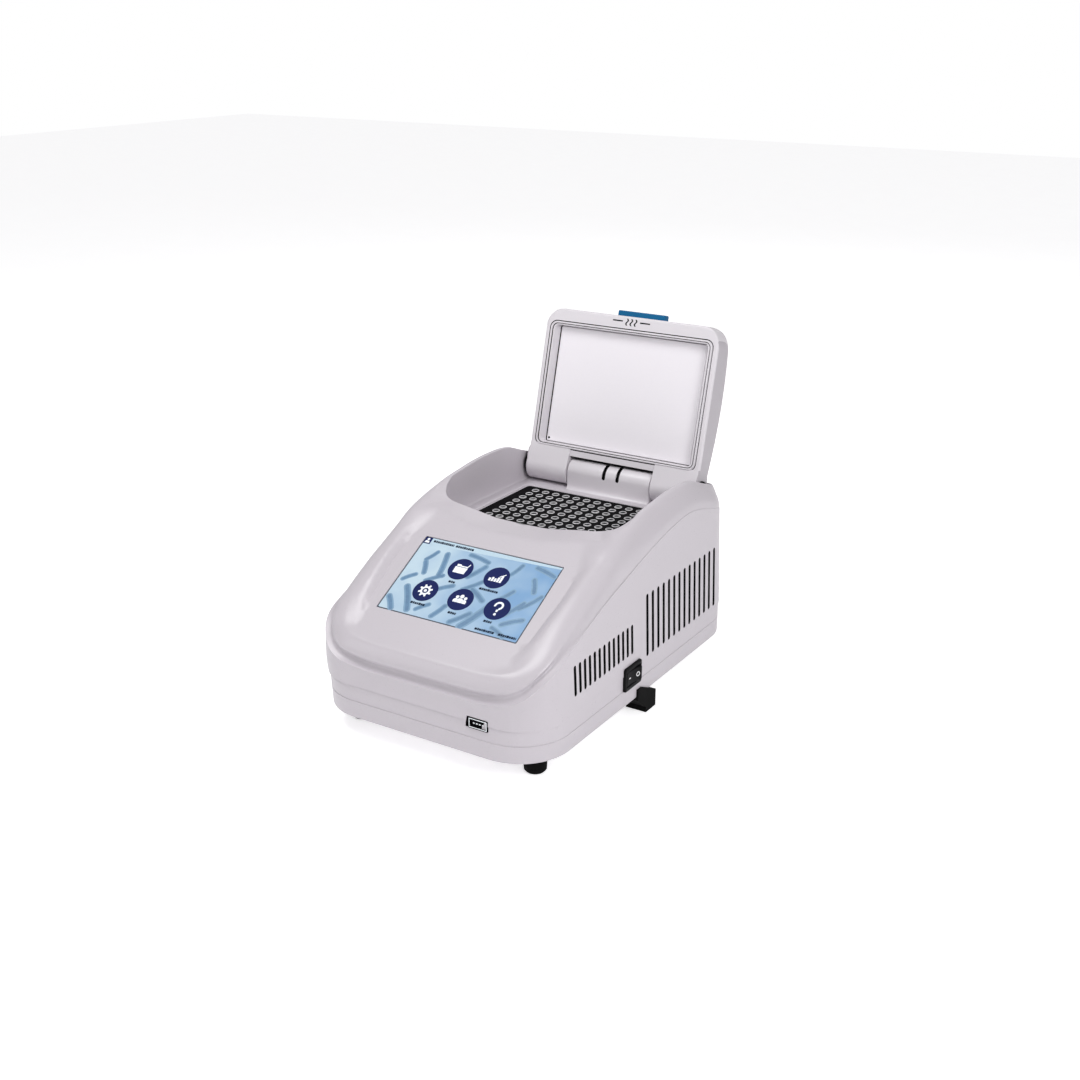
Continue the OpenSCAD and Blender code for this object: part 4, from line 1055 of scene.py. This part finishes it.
def lid_open(v):
    """From the closed lid, measured from the hinge axis, to the open one."""
    x, y, z = v
    return (x, HINGE_Y + y * math.cos(SWING) + z * math.sin(SWING),
            HINGE_Z - y * math.sin(SWING) + z * math.cos(SWING))


arc = [(LID_END + 1.6 * (1 - math.sin(math.radians(a))), FACE + 1.6 * (1 - math.cos(math.radians(a))))
       for a in (0, 18, 36, 54, 72, 90)]
rise = [(LID_END, z) for z in (-2.5, 1, 4.2, 7.2)]
nose = bend((LID_END, 7.5), (LID_END + 0.5, 17.5), (-110, 18.5), 40)
low_part = [p for p in nose if p[1] < 14.8][:-1]
cut_index = len(arc) + len(rise) - 1
nose_low = [nose[i] for i in (0, 4, 8, 12)]
gate = min(range(len(nose)), key=lambda i: abs(nose[i][1] - 14.8))
nose_pts = [nose[i] for i in sorted(set([0, 4, 8, 12, gate, gate + 3, gate + 6, gate + 10, 36, 40])) if i <= 40]
gate_at = len(arc) + len(rise) + nose_pts.index(nose[gate])
crown = bend((-110, 18.5), (-50, 26), (0, 11.5), 30)[1:]
knuckle = []
for a in range(8, 201, 8):
    r = 11.5 - 1.7 * smooth((a - 90) / 110)
    knuckle.append((r * math.sin(math.radians(a)), r * math.cos(math.radians(a))))
end = knuckle[-1]
blend_in = bend(end, (-12.6, FACE - 0.7), (-17.0, FACE), 6)[1:]
profile = arc + rise + nose_pts + crown + knuckle + blend_in
NOTCH_Y = -10.6
first_knuckle = len(arc) + len(rise) + len(nose_pts) + len([p for p in crown if p[0] <= NOTCH_Y])


def crown_z(y):
    ys = [p[0] for p in crown]
    return float(np.interp(y, ys, [p[1] for p in crown]))


def lid_section(x, notch=False):
    ax = abs(x)
    corner = 14 - math.sqrt(max(0, 196 - max(0, ax - 59)**2))
    top_drop = 8 - math.sqrt(max(0, 64 - max(0, ax - 65)**2))
    face_rise = 1.6 - math.sqrt(max(0, 2.56 - max(0, ax - 71.4)**2))
    slim = 1 - (2 - math.sqrt(max(0, 4 - max(0, ax - 71)**2))) / 11.5
    out = []
    for i, (y, z) in enumerate(profile):
        on_knuckle = i >= len(arc) + len(rise) + len(nose_pts) + len(crown)
        if notch and i >= first_knuckle:
            t = (i - first_knuckle) / (len(profile) - 1 - first_knuckle)
            y, z = NOTCH_Y, crown_z(NOTCH_Y) * (1 - t) + FACE * t
        elif on_knuckle and i < len(profile) - len(blend_in):
            y, z = y * slim, z * slim
        if y < -50:
            y = -50 + (y + 50) * (1 - corner / 71)
        weight = min(1, max(0, (z + 5) / 12.5)) if y < -2 else 0
        if -14 < y < 0 and z > 0:
            weight = min(1, -y / 14)
        z -= top_drop * weight * (1 if z > 0 else 0.0 if y > -100 else 1)
        if z < FACE + 1.7 and y < -12:
            z += face_rise * (1 - (z - FACE) / 1.7)
        out.append((x, y, z))
    return out


xs = [0, 8, 14, 20.4, 28, 36.5]
right = [36.9, 45, 53, 59]
right += [59 + 14 * math.sin(math.radians(a)) for a in range(8, 90, 6)]
right += [65 + 8 * math.sin(math.radians(a)) for a in (12, 25, 38, 50, 60, 68, 76, 83)]
right += [71.4 + 1.6 * math.sin(math.radians(a)) for a in (0, 30, 55, 75, 90)]
right = sorted(set(round(x, 3) for x in right))
middle = [-x for x in reversed(xs[1:])] + xs
stations = [lid_section(-x) for x in reversed(right)] + [lid_section(-36.5)]
stations += [lid_section(x, True) for x in middle]
stations += [lid_section(36.5)] + [lid_section(x) for x in right]
lid = Shape()


def over_button(k, i):
    a, b = stations[k][0][0], stations[k + 1][0][0]
    return abs(a) < 20.5 and abs(b) < 20.5 and len(arc) + len(rise) - 1 <= i < gate_at


def near_side(k, i):
    return over_button(k, i) or abs(stations[k][0][0]) > 72.2 or abs(stations[k + 1][0][0]) > 72.2


lid.loft(stations, closed=False, skip=near_side)
# The lid's narrow side faces take the darker copy of the lid paint as painted shade.
for group in ([s for s in stations if s[0][0] < -71.9], [s for s in stations if s[0][0] > 71.9]):
    start = [abs(s[0][0]) > 72.2 for s in group]
    for a, b in zip(group[:-1], group[1:]):
        if abs(a[0][0]) > 72.2 or abs(b[0][0]) > 72.2:
            lid.loft([a, b], 2, closed=False)
# Near-black strip behind the hinge cover: painted shade for the gap between the cover and the lid's notch.
shade = [(-10.6, -5.0), (-9.4, -4.6), (-9.4, 9.0), (-10.6, 9.6)]
lid.loft([[(x, y, z) for y, z in shade] for x in (-36.3, 36.3)], 1)
# Washers at the ends of the knuckles, in near-black paint that also stands as painted shade in the gaps beside them.
for side in (-1, 1):
    discs = [[(side * x, r * math.cos(math.radians(a)), r * math.sin(math.radians(a))) for a in range(0, 360, 10)]
             for x, r in ((72.5, 8.8), (72.9, 9.3), (74.1, 9.3), (74.4, 9.0))]
    lid.loft(discs, 1)
    lid.cap(discs[-1], 1)
hatch = [i for i in range(len(arc) + len(rise) - 1, gate_at + 1)]
mids = [x for x in middle if abs(x) < 20.5]
rim_of_hatch = [lid_section(mids[0], True)[i] for i in hatch]
rim_of_hatch += [lid_section(x, True)[hatch[-1]] for x in mids[1:]]
rim_of_hatch += [lid_section(mids[-1], True)[i] for i in reversed(hatch[:-1])]
rim_of_hatch += [lid_section(x, True)[hatch[0]] for x in reversed(mids[1:-1])]
# Walls of the release-tab opening in near-black paint: painted shade inside the opening.
lid.loft([rim_of_hatch, [(x, y + 3, z) for x, y, z in rim_of_hatch]], 1)
face_x = [s[0][0] for s in stations]
flat = [k for k, x in enumerate(face_x) if abs(x) <= 71.401]
front_edge = [stations[k][0] for k in flat]
rear_edge = [stations[k][-1] for k in flat]
rear_unique = []
for p in reversed(rear_edge):
    rear_unique.append(p)
front_unique = [p for i, p in enumerate(front_edge) if i == 0 or abs(p[0] - front_edge[i - 1][0]) > 1e-6]
face_outline = [(p[0], p[1]) for p in front_unique + rear_unique]
rim_hole = round_rect(138.7, 96.7, 6, 0, -63.4, 7)
lid.patch(face_outline, [rim_hole], lambda x, y: (x, y, FACE))
# The end caps of the lid's sides also take the darker copy of the lid paint: painted shade.
for side in (0, -1):
    edge_stations = stations[:flat[0] + 1] if side == 0 else stations[flat[-1]:]
    lid.loft([[s[0] for s in edge_stations], [s[-1] for s in edge_stations]], closed=False)
    outer_station = stations[side]
    lid.cap(outer_station, 2)
build("lid_shell", lid, "lid", [lid_shell, black_and_painted_shade, lid_side_painted_shade], ["lid_cover"], angle=30, move=lid_open)

rim = Shape()


def rim_ring(ix, iy, r, w):
    """Ring of the rim; w is how far it stands into the lid from the face."""
    return [(x, y, FACE + w) for x, y in round_rect(138.7 - 2 * ix, 96.7 - 2 * iy, r, 0, -63.4, 7)]


bead = [rim_ring(0, 0, 6, 0), rim_ring(0.1, 0.1, 5.9, 0.9), rim_ring(0.65, 0.65, 5.5, 0.9),
        rim_ring(0.75, 0.75, 5.4, -0.2), rim_ring(1.0, 1.0, 5.2, -0.55), rim_ring(1.5, 1.45, 4.9, -0.7),
        rim_ring(2.1, 1.85, 4.6, -0.55), rim_ring(2.4, 2.1, 4.4, -0.1)]
# The gap at the rim's outer edge, the groove inside its bead and the deep end of its inner wall are in near-black
# paint: painted shade.
rim.loft(bead[:2], 1)
rim.loft(bead[1:3], 1)
rim.loft(bead[2:])
rim.loft([bead[-1], rim_ring(2.45, 2.15, 4.3, 0.7), rim_ring(2.95, 2.45, 4.1, 0.7)], 1)
rim.loft([rim_ring(2.95, 2.45, 4.1, 0.7), rim_ring(3.05, 2.5, 4.0, 0.15), rim_ring(3.3, 2.7, 3.8, 0.0),
          rim_ring(4.3, 3.1, 3.4, 0.1), rim_ring(4.8, 3.3, 3.0, 0.8), rim_ring(6.5, 3.7, 1.6, 5.5)])
rim.loft([rim_ring(6.5, 3.7, 1.6, 5.5), rim_ring(6.55, 3.72, 1.5, 8.0)], 1)
build("lid_rim", rim, "lid", [lid_shell, black_and_painted_shade], ["lid_bezel"], angle=30, move=lid_open)

hot = Shape()
P_Z = FACE + 5.7
outline = round_rect(124.5, 88.8, 1.2, 0, -63.4, 4)
small = round_rect(123.7, 88.0, 0.9, 0, -63.4, 4)
screw_at = (-60.2, -63.4 + 42.0)
pit = circle(screw_at[0], screw_at[1], 0.9, 16)
hot.loft([[(x, y, P_Z + 4.4) for x, y in outline], [(x, y, P_Z + 0.4) for x, y in outline],
          [(x, y, P_Z) for x, y in small]])
hot.patch(small, [pit], lambda x, y: (x, y, P_Z))
# Inside of the pit in near-black paint: painted shade in the hole.
hot.loft([[(x, y, P_Z) for x, y in pit], [(x, y, P_Z + 1.2) for x, y in pit]], 1)
hot.cap([(x, y, P_Z + 1.2) for x, y in pit], 1)
hot.cap([(x, y, P_Z + 4.4) for x, y in outline])
build("heater_face", hot, "plate", [face_white, black_and_painted_shade], ["heated_plate"], move=lid_open)

mark = Shape()


def print_on_lid(outline2d):
    mark.loft([[(x, y, FACE) for x, y in outline2d], [(x, y, FACE - 0.03) for x, y in outline2d]])
    mark.cap([(x, y, FACE - 0.03) for x, y in outline2d])


for cx in (-3.6, 0, 3.6):
    left = [(cx + 0.8 * math.sin(i / 12 * 2 * math.pi) - 0.6, -119.2 + 5.2 * i / 12) for i in range(13)]
    print_on_lid(left + [(x + 1.2, y) for x, y in reversed(left)])
for cx in (-11.5, 11.5):
    print_on_lid(box2(cx - 4.2, -117.6, cx + 4.2, -116.6))
build("heat_symbol", mark, "lid", [ink], move=lid_open)

tab = Shape()
B_LOW, B_HIGH = 7.5, 14.5


def tab_ring(y, w, h, r):
    mid = (B_LOW + B_HIGH) / 2
    return [(a, y, mid + b) for a, b in round_rect(w, h, r, steps=4)]


tab.loft([tab_ring(-116, 40, 7, 1), tab_ring(-124.4, 40, 7, 1), tab_ring(-124.9, 39.7, 6.7, 1),
          tab_ring(-125.3, 39.0, 6.0, 0.9)])
tab.cap(tab_ring(-116, 40, 7, 1))
tab.cap(tab_ring(-125.3, 39.0, 6.0, 0.9))
build("release_tab", tab, "button", [blue], ["latch_button"], move=lid_open)

# ---- springs in the lid ----


def spring(foot, along, across, length, r, wire, turns):
    """Coil spring from foot, standing along one direction, its pitch closing up towards the ends."""
    shape = Shape()
    a = Vector(along)
    u = Vector(across)
    w = a.cross(u)
    steps = int(turns * 20)
    rings = []
    for i in range(steps + 1):
        t = i / steps
        rise = smooth(t) * 0.35 + t * 0.65
        angle = 2 * math.pi * turns * t
        out = u * math.cos(angle) + w * math.sin(angle)
        middle = Vector(foot) + a * (wire + (length - 2 * wire) * rise) + out * r
        rings.append([tuple(middle + (out * math.cos(b) + a * math.sin(b)) * wire)
                      for b in [math.pi * k / 4 for k in range(8)]])
    shape.loft(rings)
    shape.cap(rings[0])
    shape.cap(rings[-1])
    return shape


coils = Shape()
for sx in (-1, 1):
    for sy in (-1, 1):
        one = spring((50 * sx, -63.4 + 32 * sy, 3.7), (0, 0, 1), (1, 0, 0), 5.8, 3.0, 0.4, 4.5)
        first = len(coils.verts)
        coils.verts += one.verts
        coils.faces += [tuple(first + i for i in face) for face in one.faces]
        coils.mats += one.mats
plate_coils = build("plate_coils", coils, "lid", [steel], ["plate_springs"], move=lid_open)
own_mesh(plate_coils)
one = spring((0, -115.9, 11), (0, 1, 0), (1, 0, 0), 6.0, 2.0, 0.35, 6)
tab_coil = build("tab_coil", one, "lid", [steel], ["button_spring"], move=lid_open)
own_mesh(tab_coil)

# ---- finishes of the pieces shown straight from the frame ----

looks = {
    "rear_panel": dark_plastic, "fan_duct": dark_plastic, "fan_frames": black, "fan_rotor_left": black,
    "fan_rotor_right": black, "display_module": dark_plastic, "front_feet": rubber, "rear_feet": rubber,
    "side_feet": rubber, "heater_cables": gasket_black, "block_sensors": brass, "lid_bushes": brass,
    "peltier_modules": ceramic, "heat_sink": alu, "power_supply": alu, "drive_board": board,
    "control_board": board, "power_inlet": black, "fuse_drawer": black, "heater_mat": mat_film,
    "plate_insulation": felt, "hinge_pin": alu,
}
for name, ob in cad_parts.items():
    ob.data.materials.clear()
    ob.data.materials.append(looks.get(name, steel))
for name in ("front_feet", "rear_feet", "side_feet", "rear_panel", "power_inlet", "fuse_drawer", "fan_frames",
             "fan_rotor_left", "fan_rotor_right", "panel_screws", "foot_screws", "case_screws"):
    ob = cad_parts[name]
    weld = ob.modifiers.new("weld", "WELD")
    weld.merge_threshold = 0.00002
    edge = ob.modifiers.new("edge", "BEVEL")
    edge.width = 0.0009 if "feet" in name else 0.0003
    edge.segments = 3 if "feet" in name else 2
    edge.limit_method = "ANGLE"
    edge.angle_limit = math.radians(35)
    edge.harden_normals = False
    if "feet" in name and name != "side_feet" or "screws" in name or "rotor" in name:
        ob.data.shade_smooth()
    else:
        ob.data.shade_flat()

# ---- floor, light and camera ----


def stand(name, mesh_or_light, place=None):
    ob = bpy.data.objects.new(name, mesh_or_light)
    bpy.context.scene.collection.objects.link(ob)
    if place:
        ob.location = place
    return ob


floor_paint = paint("floor_paint", (0.93, 0.93, 0.935), rough=0.7, mottle=0.01, bump=0.01, glow=0.3)
ft = floor_paint.node_tree
seen = ft.nodes.new("ShaderNodeLightPath")
lift = ft.nodes.new("ShaderNodeMath")
lift.operation = "MULTIPLY_ADD"
lift.inputs[1].default_value = 0.38
lift.inputs[2].default_value = 0.25
ft.links.new(seen.outputs["Is Camera Ray"], lift.inputs[0])
ft.links.new(lift.outputs[0], ft.nodes["Principled BSDF"].inputs["Emission Strength"])
mesh = bpy.data.meshes.new("floor")
mesh.from_pydata([(-4, -4, 0), (4, -4, 0), (4, 4, 0), (-4, 4, 0)], [], [(0, 1, 2, 3)])
mesh.materials.append(floor_paint)
stand("floor", mesh)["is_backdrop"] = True
bpy.context.scene.view_settings.view_transform = "Standard"
world = bpy.data.worlds.new("world")
bpy.context.scene.world = world
world.use_nodes = True
wt = world.node_tree
dim = wt.nodes["Background"]
dim.inputs["Color"].default_value = (1.0, 0.99, 1.0, 1)
dim.inputs["Strength"].default_value = 0.38
backdrop = wt.nodes.new("ShaderNodeBackground")
backdrop.inputs["Color"].default_value = (1, 1, 1, 1)
backdrop.inputs["Strength"].default_value = 1.0
ray = wt.nodes.new("ShaderNodeLightPath")
choose = wt.nodes.new("ShaderNodeMixShader")
wt.links.new(ray.outputs["Is Camera Ray"], choose.inputs["Fac"])
wt.links.new(dim.outputs[0], choose.inputs[1])
wt.links.new(backdrop.outputs[0], choose.inputs[2])
wt.links.new(choose.outputs[0], wt.nodes["World Output"].inputs["Surface"])
for name, place, power, size in (("key", (1.0, -0.45, 0.8), 6.6, 0.5), ("fill", (-0.7, -0.9, 0.5), 0.9, 0.5),
                                 ("top", (-0.3, -0.3, 1.1), 5.0, 0.5), ("back", (-0.3, 1.3, 1.2), 3, 1.2)):
    data = bpy.data.lights.new(name, "AREA")
    data.energy = power
    data.size = size
    lamp = stand(name, data, place)
    lamp.rotation_mode = "QUATERNION"
    lamp.rotation_quaternion = (Vector((0, 0, 0.1)) - Vector(place)).to_track_quat("-Z", "Y")

camera_data = bpy.data.cameras.new("camera")
camera_data.lens = 47.956
camera_data.sensor_width = 36
camera = stand("camera", camera_data, (0.5067, -0.7975, 0.4642))
az, el = math.radians(32.183), math.radians(20.620)
back = Vector((math.sin(az) * math.cos(el), -math.cos(az) * math.cos(el), math.sin(el)))
camera.rotation_mode = "QUATERNION"
camera.rotation_quaternion = (-back).to_track_quat("-Z", "Y")
bpy.context.scene.camera = camera

size = {"cad": [list(p) for p in cad_box], "visual": [list(p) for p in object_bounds()]}
